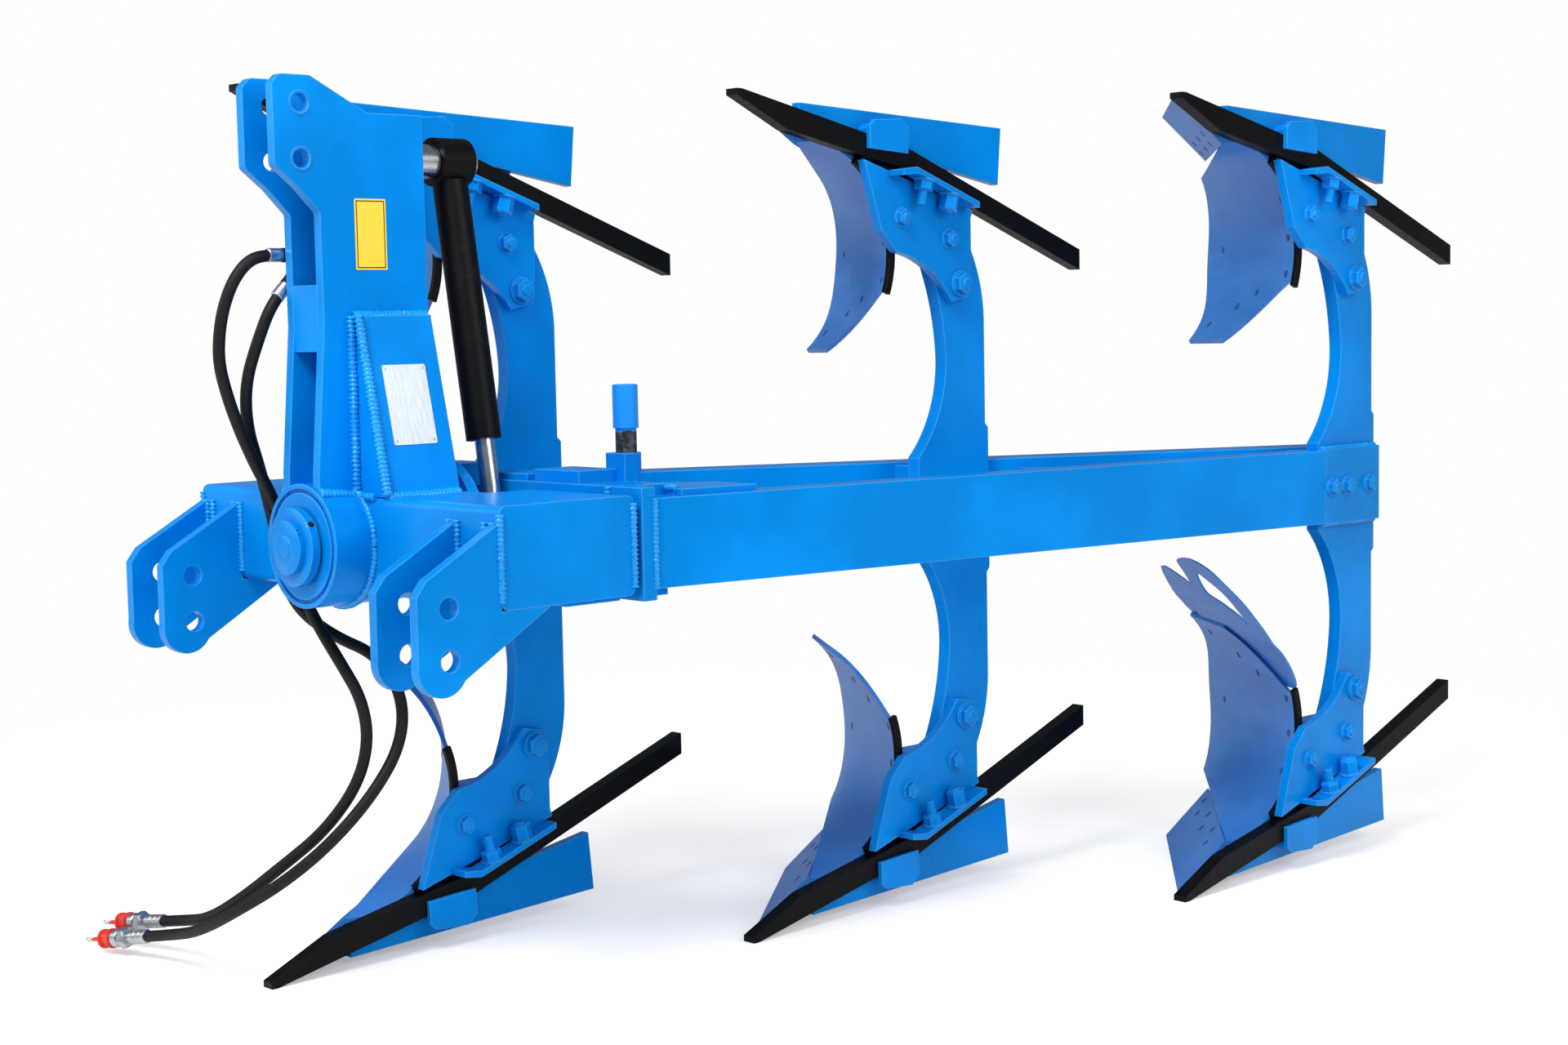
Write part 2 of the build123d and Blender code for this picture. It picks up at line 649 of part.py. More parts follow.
# --- Legs -----------------------------------------------------------------------------------
for number, (x, y) in enumerate(stations, start=1):
    with BuildPart() as leg:
        with BuildSketch(side_plane(x - LEG_PLATE / 2)):
            with BuildLine():
                Line((y + LEG_REAR + LEG_STEP, 0), (y + LEG_REAR + LEG_STEP, LEG_STEP_HEIGHT))
                Line(
                    (y + LEG_REAR + LEG_STEP, LEG_STEP_HEIGHT),
                    (y + LEG_REAR, LEG_STEP_HEIGHT + LEG_STEP),
                )
                Line((y + LEG_REAR, LEG_STEP_HEIGHT + LEG_STEP), (y + LEG_REAR, 380))
                ThreePointArc((y + LEG_REAR, 380), (y + 82, 470), (y + 50, 540))
                Line((y + 50, 540), (y - 105, 560))
                ThreePointArc((y - 105, 560), (y - 45, 430), (y - 23, 300))
                ThreePointArc((y - 23, 300), (y - 44, 190), (y + LEG_FRONT, 95))
                Line((y + LEG_FRONT, 95), (y + LEG_FRONT, 0))
                Line((y + LEG_FRONT, 0), (y + LEG_REAR + LEG_STEP, 0))
            make_face()
        extrude(amount=LEG_PLATE)
        mirror(about=Plane.XY)
    keep(leg.part, f"leg_{number}")

# --- Bodies ---------------------------------------------------------------------------------
across = Vector(-sin(radians(SHARE_ANGLE)), cos(radians(SHARE_ANGLE)), 0)
rearward = Vector(cos(radians(SHARE_ANGLE)), sin(radians(SHARE_ANGLE)), 0)
share_run = SHARE_WIDTH * cos(radians(SHARE_SLOPE))
share_rise = SHARE_WIDTH * sin(radians(SHARE_SLOPE))


def arc_point(arc, proud, angle):
    """Y from the leg and height above ground of a point on a section's arc, a little behind it."""
    middle_y, middle_z, radius = arc[:3]
    reach = radius + proud
    return (middle_y + reach * cos(radians(angle)), middle_z + reach * sin(radians(angle)))


def board_section(x, y, arc, start, fronts, backs):
    """A closed section of the mouldboard, or of the soil in front of it, across X."""
    first, last = arc[3:]
    middle = (first + last) / 2
    with BuildSketch(side_plane(x), mode=Mode.PRIVATE) as section:
        with Locations((y, GROUND)):
            with BuildLine(mode=Mode.PRIVATE) as edge:
                back = [arc_point(arc, backs, angle) for angle in (first, middle, last)]
                ThreePointArc(*back)
                if fronts is None:
                    Polyline(back[2], (start, 1100), (start, -200), back[0])
                else:
                    front = [arc_point(arc, fronts, angle) for angle in (first, middle, last)]
                    ThreePointArc(*front)
                    Line(back[0], front[0])
                    Line(back[2], front[2])
            add(make_face(edge.edges(), mode=Mode.PRIVATE))
    return section.sketch


def board_loft(x, y, fronts, backs):
    """The mouldboard's straight-lined surface from the shin out to the tail, as a solid."""
    tail = tuple(a + (b - a) * TAIL_OVER for a, b in zip(SHIN_ARC, TAIL_ARC))
    near = board_section(x + BAR_SIDE, y, SHIN_ARC, -1300, fronts, backs)
    far = board_section(x + BAR_SIDE - TAIL_OUT * TAIL_OVER, y, tail, -1100, fronts, backs)
    return loft([near.face(), far.face()], ruled=True, mode=Mode.PRIVATE)


def share_soil(x, y):
    """Everything in front of the share's rear face, and the share itself."""
    origin = Vector(x + BAR_SIDE, y + EDGE_START_Y, GROUND)
    toe = SHARE_PLATE / sin(radians(SHARE_SLOPE))
    heel = (
        share_run + SHARE_PLATE * sin(radians(SHARE_SLOPE)),
        share_rise - SHARE_PLATE * cos(radians(SHARE_SLOPE)),
    )
    plane = Plane(origin=origin - across * 150, x_dir=rearward, z_dir=-across)
    with BuildSketch(plane, mode=Mode.PRIVATE) as region:
        Polygon((-500, -20), (toe, -20), (toe, 0), heel, (share_run, share_rise), (-500, share_rise), align=None)
    return extrude(region.sketch, amount=-900, mode=Mode.PRIVATE)


with BuildPart() as shares:
    for x, y in stations:
        with BuildPart(mode=Mode.PRIVATE) as share:
            origin = Vector(x + BAR_SIDE, y + EDGE_START_Y, GROUND)
            toe = SHARE_PLATE / sin(radians(SHARE_SLOPE))
            with BuildSketch(Plane(origin=origin - across * 150, x_dir=rearward, z_dir=-across)):
                Polygon(
                    (0, 0),
                    (share_run, share_rise),
                    (
                        share_run + SHARE_PLATE * sin(radians(SHARE_SLOPE)),
                        share_rise - SHARE_PLATE * cos(radians(SHARE_SLOPE)),
                    ),
                    (toe, 0),
                    align=None,
                )
            extrude(amount=-150 - SHARE_TOP)
            with BuildSketch(Plane(origin=origin, x_dir=across, z_dir=rearward)):
                Polygon(
                    (-200, -10),
                    (SHARE_EDGE, -10),
                    (SHARE_TOP, share_rise + 20),
                    (-200, share_rise + 20),
                    align=None,
                )
            extrude(amount=400, both=True, mode=Mode.INTERSECT)
            split(bisect_by=Plane.YZ.offset(x + BAR_SIDE), keep=Keep.BOTTOM)
        add(share.part)
write_pair(shares, "shares")

with BuildPart() as mouldboards:
    for x, y in stations:
        with BuildPart(mode=Mode.PRIVATE) as mouldboard:
            add(board_loft(x, y, 0, MOULDBOARD_PLATE))
            with BuildSketch(Plane.XZ.offset(-y + 900)):
                with BuildLine():
                    Spline(*[(x + a, GROUND + b) for a, b in MOULDBOARD_OUTLINE])
                    Polyline(
                        (x + MOULDBOARD_OUTLINE[-1][0], GROUND + MOULDBOARD_OUTLINE[-1][1]),
                        (x - 300, GROUND + 40),
                        (x + 10, GROUND + 40),
                        (x + 10, GROUND + MOULDBOARD_OUTLINE[0][1]),
                    )
                make_face()
            extrude(amount=-1600, mode=Mode.INTERSECT)
            add(share_soil(x, y), mode=Mode.SUBTRACT)
            split(bisect_by=Plane.YZ.offset(x + BAR_SIDE), keep=Keep.BOTTOM)
        add(mouldboard.part)
write_pair(mouldboards, "mouldboards")

with BuildPart() as bar_points:
    for x, y in stations:
        with BuildSketch(side_plane(x + BAR_SIDE)):
            Polygon(
                (y + BAR_TIP_Y, GROUND),
                (y + BAR_TIP_Y + BAR_NOSE, GROUND),
                (y + BAR_KNEE_Y, GROUND + BAR_KNEE_Z),
                (y + BAR_END_Y, GROUND + BAR_END_Z),
                (y + BAR_END_Y, GROUND + BAR_END_Z + BAR_DEPTH),
                (y + BAR_KNEE_Y, GROUND + BAR_KNEE_Z + BAR_DEPTH),
                (y + BAR_BEVEL_Y, GROUND + BAR_BEVEL_Z),
                (y + BAR_TIP_Y, GROUND + 12),
                align=None,
            )
        extrude(amount=BAR_WIDTH)
write_pair(bar_points, "bar_points")

with BuildPart() as landsides:
    for x, y in stations:
        with BuildSketch(side_plane(x + BAR_SIDE - LANDSIDE_PLATE)):
            Polygon(*[(y + a, GROUND + b) for a, b in LANDSIDE_PROFILE], align=None)
        extrude(amount=LANDSIDE_PLATE)
write_pair(landsides, "landsides")

with BuildPart() as frogs:
    for x, y in stations:
        with BuildPart(mode=Mode.PRIVATE) as frog:
            bar_top = [GROUND + bar_bottom(v) + BAR_DEPTH for v in (-276, 42)]
            with BuildSketch(side_plane(x + LEG_PLATE / 2)):
                with BuildLine():
                    Polyline(
                        (y - 24, -417),
                        (y + 30, -428),
                        (y + 37, -500),
                        (y + 37, -590),
                        (y + 42, bar_top[1] + 8),
                        (y - 276, bar_top[0] + 10),
                        (y - 228, -560),
                        (y - 185, -518),
                    )
                    ThreePointArc((y - 185, -518), (y - 88, -482), (y - 24, -417))
                make_face()
            extrude(amount=FROG_PLATE)
            with BuildSketch(side_plane(x - LEG_PLATE / 2)):
                Polygon(
                    (y - 262, bar_top[0] + 5),
                    (y + 30, bar_top[1] - 4),
                    (y + 30, -543),
                    (y - 105, -560),
                    (y - 225, -562),
                    align=None,
                )
            extrude(amount=LEG_PLATE)
            with BuildSketch(side_plane(x - LEG_PLATE / 2)):
                Polygon(
                    (y - 20, -520),
                    (y + 20, -525),
                    (y + 20, -700),
                    (y - 60, -720),
                    (y - 400, GROUND + 70),
                    (y - 380, -640),
                    (y - 235, -520),
                    align=None,
                )
            extrude(amount=-FROG_CORE)
            add(board_loft(x, y, None, MOULDBOARD_PLATE), mode=Mode.SUBTRACT)
            shin = board_section(x + BAR_SIDE, y, SHIN_ARC, -1300, None, MOULDBOARD_PLATE)
            add(extrude(shin, amount=STRIP_WIDTH, mode=Mode.PRIVATE), mode=Mode.SUBTRACT)
            add(share_soil(x, y), mode=Mode.SUBTRACT)
        add(frog.part)
write_pair(frogs, "frogs")

with BuildPart() as bar_clamps:
    for x, y in stations:
        low, high = -206, 20
        with BuildSketch(side_plane(x + LEG_PLATE / 2 + FROG_PLATE)):
            Polygon(
                (y + low, GROUND + bar_bottom(low) + BAR_DEPTH + 14 + CLAMP_PLATE),
                (y + low + 45, GROUND + bar_bottom(low + 45) + BAR_DEPTH + CLAMP_PLATE),
                (y + high, GROUND + bar_bottom(high) + BAR_DEPTH + CLAMP_PLATE),
                (y + high, GROUND + bar_bottom(high) + BAR_DEPTH),
                (y + low + 40, GROUND + bar_bottom(low + 40) + BAR_DEPTH),
                (y + low, GROUND + bar_bottom(low) + BAR_DEPTH + 14),
                align=None,
            )
        extrude(amount=CLAMP_WIDTH)
write_pair(bar_clamps, "bar_clamps")

with BuildPart() as shin_strips:
    for x, y in stations:
        with BuildSketch(side_plane(x + BAR_SIDE)):
            with Locations((y, GROUND)):
                with BuildLine(mode=Mode.PRIVATE) as rim:
                    middle = (STRIP_LOW + STRIP_HIGH) / 2
                    angles = (STRIP_LOW, middle, STRIP_HIGH)
                    front = [arc_point(SHIN_ARC, -STRIP_PROUD, angle) for angle in angles]
                    back = [arc_point(SHIN_ARC, MOULDBOARD_PLATE, angle) for angle in angles]
                    ThreePointArc(*front)
                    ThreePointArc(*back)
                    Line(front[0], back[0])
                    Line(front[2], back[2])
                add(make_face(rim.edges(), mode=Mode.PRIVATE))
        extrude(amount=STRIP_WIDTH)
write_pair(shin_strips, "shin_strips")

with BuildPart() as cover_plates:
    for x, y in stations:
        bar_near = x + BAR_SIDE + BAR_WIDTH
        with BuildSketch(side_plane(bar_near)):
            with BuildLine():
                Polyline(
                    (y - 269, GROUND + bar_bottom(-269) + 30),
                    (y - 159, GROUND + bar_bottom(-159) + 14),
                    (y - 157, GROUND + 58),
                    (y - 178, GROUND + 40),
                    (y - 254, GROUND + 44),
                    (y - 268, GROUND + 56),
                    close=True,
                )
            make_face()
        extrude(amount=COVER_PLATE)
        with BuildSketch(side_plane(x + BAR_SIDE)):
            Polygon(
                (y - 262, GROUND + bar_bottom(-262)),
                (y - 165, GROUND + bar_bottom(-165)),
                (y - 165, GROUND + 60),
                (y - 185, GROUND + 48),
                (y - 250, GROUND + 50),
                (y - 262, GROUND + 60),
                align=None,
            )
        extrude(amount=BAR_WIDTH)
write_pair(cover_plates, "cover_plates")

with BuildPart() as mouldboard_stays:
    for x, y in stations:
        with BuildPart(mode=Mode.PRIVATE) as stay:
            start = Vector(x - LEG_PLATE / 2 - FROG_CORE, y - 10, STAY_HEIGHT)
            aim = Vector(x - STAY_OUT, y - 150, GROUND + STAY_RISE)
            rod_plane = Plane(origin=start, z_dir=aim - start)
            with BuildSketch(rod_plane.offset(-30)):
                Circle(STAY_RADIUS)
            extrude(amount=(aim - start).length + 30)
            split(bisect_by=Plane.YZ.offset(x - LEG_PLATE / 2 - FROG_CORE), keep=Keep.BOTTOM)
            add(board_loft(x, y, None, MOULDBOARD_PLATE), mode=Mode.SUBTRACT)
        add(stay.part)
write_pair(mouldboard_stays, "mouldboard_stays")

# --- Hoses: each route runs from its port, behind the hub, to the ground in front ----------------
HOSE_ROUTES = {
    "hose_a": [
        port_starts[0],
        (port_x, port_starts[0][1] - HOSE_FIRST_RUN, HOSE_PORTS[0]),
        (-78, 2, 507),
        (-84, -35, 480),
        (-91, -62, 441),
        (-98, -75, 392),
        (-106, -73, 336),
        (-114, -52, 278),
        (-118, -22, 222),
        (-124, 24, 158),
        (-131, 72, 94),
        (-137, 108, 26),
        (-130, 122, -46),
        (-111, 131, -112),
        (-79, 141, -168),
        (-51, 153, -228),
        (-32, 167, -294),
        (-28, 164, -368),
        (-36, 136, -446),
        (-66, 82, -526),
        (-128, 26, -604),
        (-214, -4, -682),
        (-322, -10, -742),
        (-438, 0, -770),
        (-552, 10, -784),
    ],
    "hose_b": [
        port_starts[1],
        (port_x, port_starts[1][1] - HOSE_FIRST_STEP, port_starts[1][2] - HOSE_FIRST_STEP),
        (-84, 30, 372),
        (-104, 8, 296),
        (-133, 26, 216),
        (-162, 66, 136),
        (-172, 100, 44),
        (-166, 116, -46),
        (-142, 126, -124),
        (-88, 172, -180),
        (-22, 226, -216),
        (21, 250, -292),
        (26, 231, -386),
        (20, 166, -480),
        (-18, 84, -566),
        (-92, 12, -636),
        (-192, -34, -698),
        (-306, -46, -748),
        (-424, -40, -772),
        (-538, -34, -786),
    ],
}


def bend_radii(points):
    """The largest tangent arc that each corner's two runs allow."""
    radii = []
    for before, corner, after in zip(points, points[1:], points[2:]):
        run_in = Vector(corner) - Vector(before)
        run_out = Vector(after) - Vector(corner)
        half_turn = radians(run_in.get_angle(run_out)) / 2
        radii.append(0.45 * min(run_in.length, run_out.length) / tan(half_turn))
    return radii


hose_ends = []
for name, route in HOSE_ROUTES.items():
    radii = bend_radii(route)
    with BuildPart() as hose:
        with BuildLine() as path:
            FilletPolyline(*route, radius=radii)
        start_plane = Plane(origin=route[0], z_dir=Vector(route[1]) - Vector(route[0]))
        with BuildSketch(start_plane):
            Circle(HOSE_DIAMETER / 2)
        sweep()
    length = sum(edge.length for edge in path.edges())
    section = 3.14159265 * (HOSE_DIAMETER / 2) ** 2
    print(name, "length", round(length, 1), "tightest bend", round(min(radii), 1))
    print(name, "volume over section times length", round(hose.part.volume / section / length, 5))
    keep(hose.part, name)
    hose_ends.append(Plane(origin=route[-1], z_dir=Vector(route[-1]) - Vector(route[-2])))

with BuildPart() as hose_ferrules:
    for end in hose_ends:
        with BuildSketch(end):
            Circle(HOSE_DIAMETER / 2)
        extrude(amount=FERRULE_LENGTH)
keep(hose_ferrules.part, "hose_ferrules")

with BuildPart() as hose_couplers:
    for end in hose_ends:
        with BuildSketch(end.offset(FERRULE_LENGTH)):
            RegularPolygon(HOSE_DIAMETER / 2, 6)
        extrude(amount=COUPLER_LENGTH)
keep(hose_couplers.part, "hose_couplers")

with BuildPart() as hose_caps:
    for end in hose_ends:
        with BuildSketch(end.offset(FERRULE_LENGTH + COUPLER_LENGTH)):
            Circle(HOSE_DIAMETER / 2)
        extrude(amount=CAP_LENGTH)
keep(hose_caps.part, "hose_caps")

# --- Moved to the ground and written ----------------------------------------------------------
rigid = [piece.moved(Location()) for piece in finished if not piece.label.startswith("hose_")]
box = Compound(children=rigid).bounding_box()
shift = Location((-(box.min.X + box.max.X) / 2, -(box.min.Y + box.max.Y) / 2, -box.min.Z))
print("size", [round(v, 2) for v in (box.size.X, box.size.Y, box.size.Z)])
print("shift", [round(v, 3) for v in shift.position])
for piece in finished:
    name = piece.label
    moved = piece.moved(shift)
    moved.label = name
    export_step(moved, f"parts/{name}.step")
print(len(finished), "nodes")
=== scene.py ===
# %% [markdown]
# # A three-furrow reversible mouldboard plough
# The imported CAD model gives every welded, forged and turned piece at its real size. This lesson
# gives those pieces their finishes, and adds what a workshop adds last: welds, nuts and bolts,
# hoses, plates and stickers. Everything is in metres, in the CAD model's own frame.

import math

import bpy
from mathutils import Matrix, Vector
from mathutils.geometry import tessellate_polygon


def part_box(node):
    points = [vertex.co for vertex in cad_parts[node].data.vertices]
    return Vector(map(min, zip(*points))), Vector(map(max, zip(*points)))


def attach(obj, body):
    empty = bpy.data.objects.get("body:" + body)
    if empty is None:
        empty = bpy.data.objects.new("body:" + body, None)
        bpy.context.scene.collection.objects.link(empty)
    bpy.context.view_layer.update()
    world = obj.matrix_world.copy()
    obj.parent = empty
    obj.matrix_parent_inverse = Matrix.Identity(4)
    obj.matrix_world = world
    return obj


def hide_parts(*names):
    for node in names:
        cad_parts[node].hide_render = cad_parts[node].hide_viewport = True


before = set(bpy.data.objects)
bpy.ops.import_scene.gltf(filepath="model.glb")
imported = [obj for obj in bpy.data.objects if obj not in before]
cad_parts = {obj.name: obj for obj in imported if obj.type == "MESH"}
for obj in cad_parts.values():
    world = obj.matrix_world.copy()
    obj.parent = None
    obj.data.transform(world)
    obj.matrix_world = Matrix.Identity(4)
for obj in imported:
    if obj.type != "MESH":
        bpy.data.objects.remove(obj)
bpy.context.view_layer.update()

# %% [markdown]
# ## One working frame
# On the drawing the plough is measured in millimetres from its turnover axis: X to the plough's
# left, Y back along the axis, Z up. `at` turns such a measure into a point of the model. The
# turning head gives the axis, because it is a disc centred on it.

# %% Points on the drawing
head_low, head_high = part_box("turnover_head")
HEAD_FRONT = 338.0  # the turning head's front face, on the drawing
AXIS = Vector((
    (head_low.x + head_high.x) / 2,
    head_low.y - HEAD_FRONT / 1000,
    (head_low.z + head_high.z) / 2,
))
STATIONS = [(-150, 650), (270, 1472), (690, 2294)]  # the legs, in X and Y
GROUND = -826.0


def at(x, y, z):
    """A point of the drawing, in millimetres, as a point of the model, in metres."""
    return AXIS + Vector((x, y, z)) / 1000


def placed(name, data):
    """A new object in the scene."""
    thing = bpy.data.objects.new(name, data)
    bpy.context.collection.objects.link(thing)
    return thing


def both_sides(x, y, z):
    """A drawing point on a lower body, and its mirror image on the upper one."""
    return (x, y, z), (x, y, -z)


print("turnover axis at", tuple(round(v, 4) for v in AXIS))

# %% [markdown]
# ## The camera
# The plough is seen from its left front, a little above the axis, with a short telephoto lens.
# A camera is placed by its own right, up and back directions, which are the columns of its
# matrix.

# %% Camera
CAMERA_AT = (3670, -2219, 393)
HEADING, DIP, LEAN = math.radians(46.66), math.radians(4.95), math.radians(1.1)
SENSOR, LENS = 36.0, 54.6375  # millimetres

ahead = Vector((
    -math.sin(HEADING) * math.cos(DIP),
    math.cos(HEADING) * math.cos(DIP),
    -math.sin(DIP),
))
level = Vector((math.cos(HEADING), math.sin(HEADING), 0))
down = ahead.cross(level)
right = level * math.cos(LEAN) + down * math.sin(LEAN)
down = down * math.cos(LEAN) - level * math.sin(LEAN)

camera_data = bpy.data.cameras.new("camera")
camera_data.sensor_width = SENSOR
camera_data.lens = LENS
camera = placed("camera", camera_data)
turn = Matrix((right, -down, -ahead)).transposed().to_4x4()
camera.matrix_world = Matrix.Translation(at(*CAMERA_AT)) @ turn
bpy.context.scene.camera = camera
print("lens", round(camera_data.lens, 2), "mm")

# %% [markdown]
# ## Node trees as plain expressions
# A node tree is easier to read as arithmetic. `Signal` wraps one output of a node and gives it
# +, -, * and /, so `1 - mask * 0.4` builds the Math nodes itself. `Nodes` makes every other node
# with one method: its type, its settings, then its inputs. It serves the finishes, the sky and
# the Geometry Nodes alike.

# %% Signal and Nodes
class Signal:
    """One output of a node: a number, a direction, a shader or a shape."""

    def __init__(self, owner, socket):
        self.owner, self.socket = owner, socket

    def math(self, operation, *values):
        return self.owner.node("ShaderNodeMath", {"operation": operation}, *values)

    def __add__(self, other):
        return self.math("ADD", self, other)

    def __radd__(self, other):
        return self.math("ADD", other, self)

    def __sub__(self, other):
        return self.math("SUBTRACT", self, other)

    def __rsub__(self, other):
        return self.math("SUBTRACT", other, self)

    def __mul__(self, other):
        return self.math("MULTIPLY", self, other)

    def __rmul__(self, other):
        return self.math("MULTIPLY", other, self)

    def __truediv__(self, other):
        return self.math("DIVIDE", self, other)

    def least(self, other):
        return self.math("MINIMUM", self, other)

    def clamp(self):
        return self.math("MAXIMUM", self, 0.0).least(1.0)

    def step(self, low, high):
        """0 below low, 1 above high, smooth between."""
        return self.owner.node("ShaderNodeMapRange", {"interpolation_type": "SMOOTHSTEP"},
                               self, low, high, 0.0, 1.0)


class Nodes:
    """A node tree of any kind."""

    def __init__(self, tree):
        self.tree = tree

    def put(self, socket, value):
        if isinstance(value, Signal):
            self.tree.links.new(value.socket, socket)
        elif isinstance(value, (tuple, list)) and len(value) == 3 < len(socket.default_value):
            socket.default_value = (*value, 1.0)
        else:
            socket.default_value = value

    def node(self, kind, settings, *values, output=0, **named):
        made = self.tree.nodes.new(kind)
        for key, value in settings.items():
            setattr(made, key, value)
        for socket, value in zip(made.inputs, values):
            self.put(socket, value)
        for key, value in named.items():
            self.put(made.inputs[key.replace("_", " ")], value)
        return Signal(self, made.outputs[output])

    def either(self, asked, usual, special):
        """One shader where the asked value is 0, another where it is 1, or for a kind of ray."""
        if isinstance(asked, str):
            asked = self.node("ShaderNodeLightPath", {}, output=asked)
        return self.node("ShaderNodeMixShader", {}, asked, usual, special)


# %% Finish
class Finish(Nodes):
    """A procedural material, with the Principled shader that it feeds."""

    MIX_FIRST, MIX_SECOND, MIX_RESULT = 6, 7, 2  # the Mix node's colour sockets

    def __init__(self, name, color, roughness, metallic=0.0, specular=0.5,
                 tint=(1.0, 1.0, 1.0)):
        self.material = bpy.data.materials.new(name)
        self.material.use_nodes = True
        super().__init__(self.material.node_tree)
        self.shader = self.tree.nodes["Principled BSDF"]
        self.set("Base Color", color)
        self.set("Roughness", roughness)
        self.set("Metallic", metallic)
        self.shader.inputs["Specular IOR Level"].default_value = specular
        self.shader.inputs["Specular Tint"].default_value = (*tint, 1.0)
        self.place = self.node("ShaderNodeTexCoord", {}, output="Object")

    def set(self, name, value):
        self.put(self.shader.inputs[name], value)

    def wear(self, color, roughness, direction=None):
        """Drive the paint's colour, roughness and surface direction, and hand it out."""
        self.set("Base Color", color)
        self.set("Roughness", roughness)
        if direction is not None:
            self.set("Normal", direction)
        return self.material

    def noise(self, scale, detail=2.0, roughness=0.5, stretch=None):
        """Cloudy noise from 0 to 1, squeezed along each axis by stretch."""
        where = self.place
        if stretch:
            where = self.node("ShaderNodeMapping", {}, where, Scale=stretch)
        return self.node("ShaderNodeTexNoise", {}, Vector=where, Scale=scale, Detail=detail,
                         Roughness=roughness)

    def mix(self, factor, first, second):
        """The first colour where factor is 0, the second where it is 1."""
        made = self.tree.nodes.new("ShaderNodeMix")
        made.data_type = "RGBA"
        self.put(made.inputs[0], factor)
        self.put(made.inputs[self.MIX_FIRST], first)
        self.put(made.inputs[self.MIX_SECOND], second)
        return Signal(self, made.outputs[self.MIX_RESULT])

    def edges(self, radius):
        """The surface's direction with its sharp edges rounded off, and how near an edge is."""
        soft = self.node("ShaderNodeBevel", {"samples": 6}, Radius=radius)
        flat = self.node("ShaderNodeNewGeometry", {}, output="Normal")
        same = self.node("ShaderNodeVectorMath", {"operation": "DOT_PRODUCT"}, soft, flat,
                         output="Value")
        return soft, ((1.0 - same) * 5.0).clamp()

    def bump(self, height, distance, strength, over=None):
        """A surface direction bent by a height, over another direction where one is given."""
        named = {"Strength": strength, "Distance": distance, "Height": height}
        if over is not None:
            named["Normal"] = over
        return self.node("ShaderNodeBump", {}, **named)


def srgb(r, g, b):
    """A colour written as the screen shows it, 0 to 255, as the linear values a shader needs."""
    def channel(v):
        v /= 255
        return v / 12.92 if v <= 0.04045 else ((v + 0.055) / 1.055) ** 2.4
    return (channel(r), channel(g), channel(b))


# %% [markdown]
# ## Gloss blue over welded steel
# The paint is sprayed wet over plate, castings and welds in one go. It is a saturated azure with
# a shallow orange-peel skin and is a shade deeper where it pools. It runs a little thinner on
# sharp edges, and their paler colour is also a painted highlight. A soft rounding of the edges
# catches the light as the real radius does. The tint turns its reflections blue, so that the soft
# white light doesn't wash the colour out. The welds get a smoother coat with whiter glints, so
# that their ripples catch the light, and a lighter blue that is a painted highlight.

# %% Blue paint
def sprayed_blue(name, color, peel=1.0, smooth=0.20, shine=0.5, tint=(0.03, 0.5, 1.0)):
    paint = Finish(name, color, 0.30, specular=shine, tint=tint)
    cloud = paint.noise(3.2, 3.0, 0.55)
    fine = paint.noise(38.0, 3.0, 0.6)
    soft, edge = paint.edges(0.0035)
    deep = tuple(c * 0.80 for c in color)
    # Paler paint on sharp edges: partly thinner paint, partly a painted highlight.
    pale = (color[0] * 0.8 + 0.11, min(color[1] * 1.45 + 0.10, 1.0), min(color[2] * 1.2, 1.0))
    tone = paint.mix(cloud.step(0.38, 0.66), deep, color)
    tone = paint.mix(fine.step(0.5, 0.8) * 0.18, tone, deep)
    tone = paint.mix(edge * 0.75, tone, pale)
    waves = paint.noise(16.0, 2.0, 0.5)
    skin = paint.noise(620.0, 2.0, 0.5)
    rolled = paint.bump(waves, 0.0016 * peel, 0.5, over=soft)
    return paint.wear(tone, smooth + cloud * 0.12 + fine * 0.06,
                      paint.bump(skin, 0.00022 * peel, 0.35, over=rolled))


AZURE = srgb(0, 135, 226)
blue_paint = sprayed_blue("gloss_blue_paint", AZURE)
cast_blue = sprayed_blue("gloss_blue_paint_on_forgings", AZURE, peel=2.4)
# The welds' lighter blue is a painted highlight on their beads.
weld_blue = sprayed_blue("gloss_blue_paint_on_welds", srgb(0, 152, 242), peel=1.5,
                         smooth=0.10, shine=0.9, tint=(0.45, 0.8, 1.0))
print("paint", tuple(round(c, 3) for c in AZURE))

# %% [markdown]
# ## Rolled steel under thin paint
# The shares and mouldboards are polished by use, so the works gives their faces only a thin
# violet-blue coat. The rolled steel shows through it as long faint streaks, and small dark
# specks are left in it. Their edges are painted a brighter azure, a painted highlight.

# %% Soil faces
def thin_violet(name):
    face = Finish(name, srgb(56, 120, 198), 0.42, specular=0.4, tint=(0.3, 0.65, 1.0))
    streak = face.noise(2.2, 4.0, 0.6, stretch=(1.0, 1.0, 4.0))
    patch = face.noise(5.0, 3.0, 0.55)
    soft, edge = face.edges(0.002)
    tone = face.mix(streak.step(0.36, 0.68), srgb(44, 112, 192), srgb(66, 132, 208))
    tone = face.mix(patch.step(0.5, 0.75) * 0.5, tone, srgb(34, 124, 206))
    speck = face.noise(150.0, 1.0, 0.4)
    tone = face.mix(speck.step(0.735, 0.76) * 0.7, tone, srgb(28, 58, 120))
    # Painted highlight: a brighter azure along the edges.
    tone = face.mix(edge * 0.8, tone, srgb(22, 152, 240))
    grain = face.noise(260.0, 2.0, 0.5, stretch=(1.0, 1.0, 8.0))
    return face.wear(tone, 0.34 + streak * 0.16,
                     face.bump(grain + patch * 2.0, 0.00018, 0.35, over=soft))


soil_face = thin_violet("thin_violet_paint_on_rolled_steel")

# %% [markdown]
# ## Black bars
# The reversible points are forged bar, dipped in satin black. Their faces keep the hammer's
# shallow waves, and the dip is rubbed grey along the corners and in scuffs.

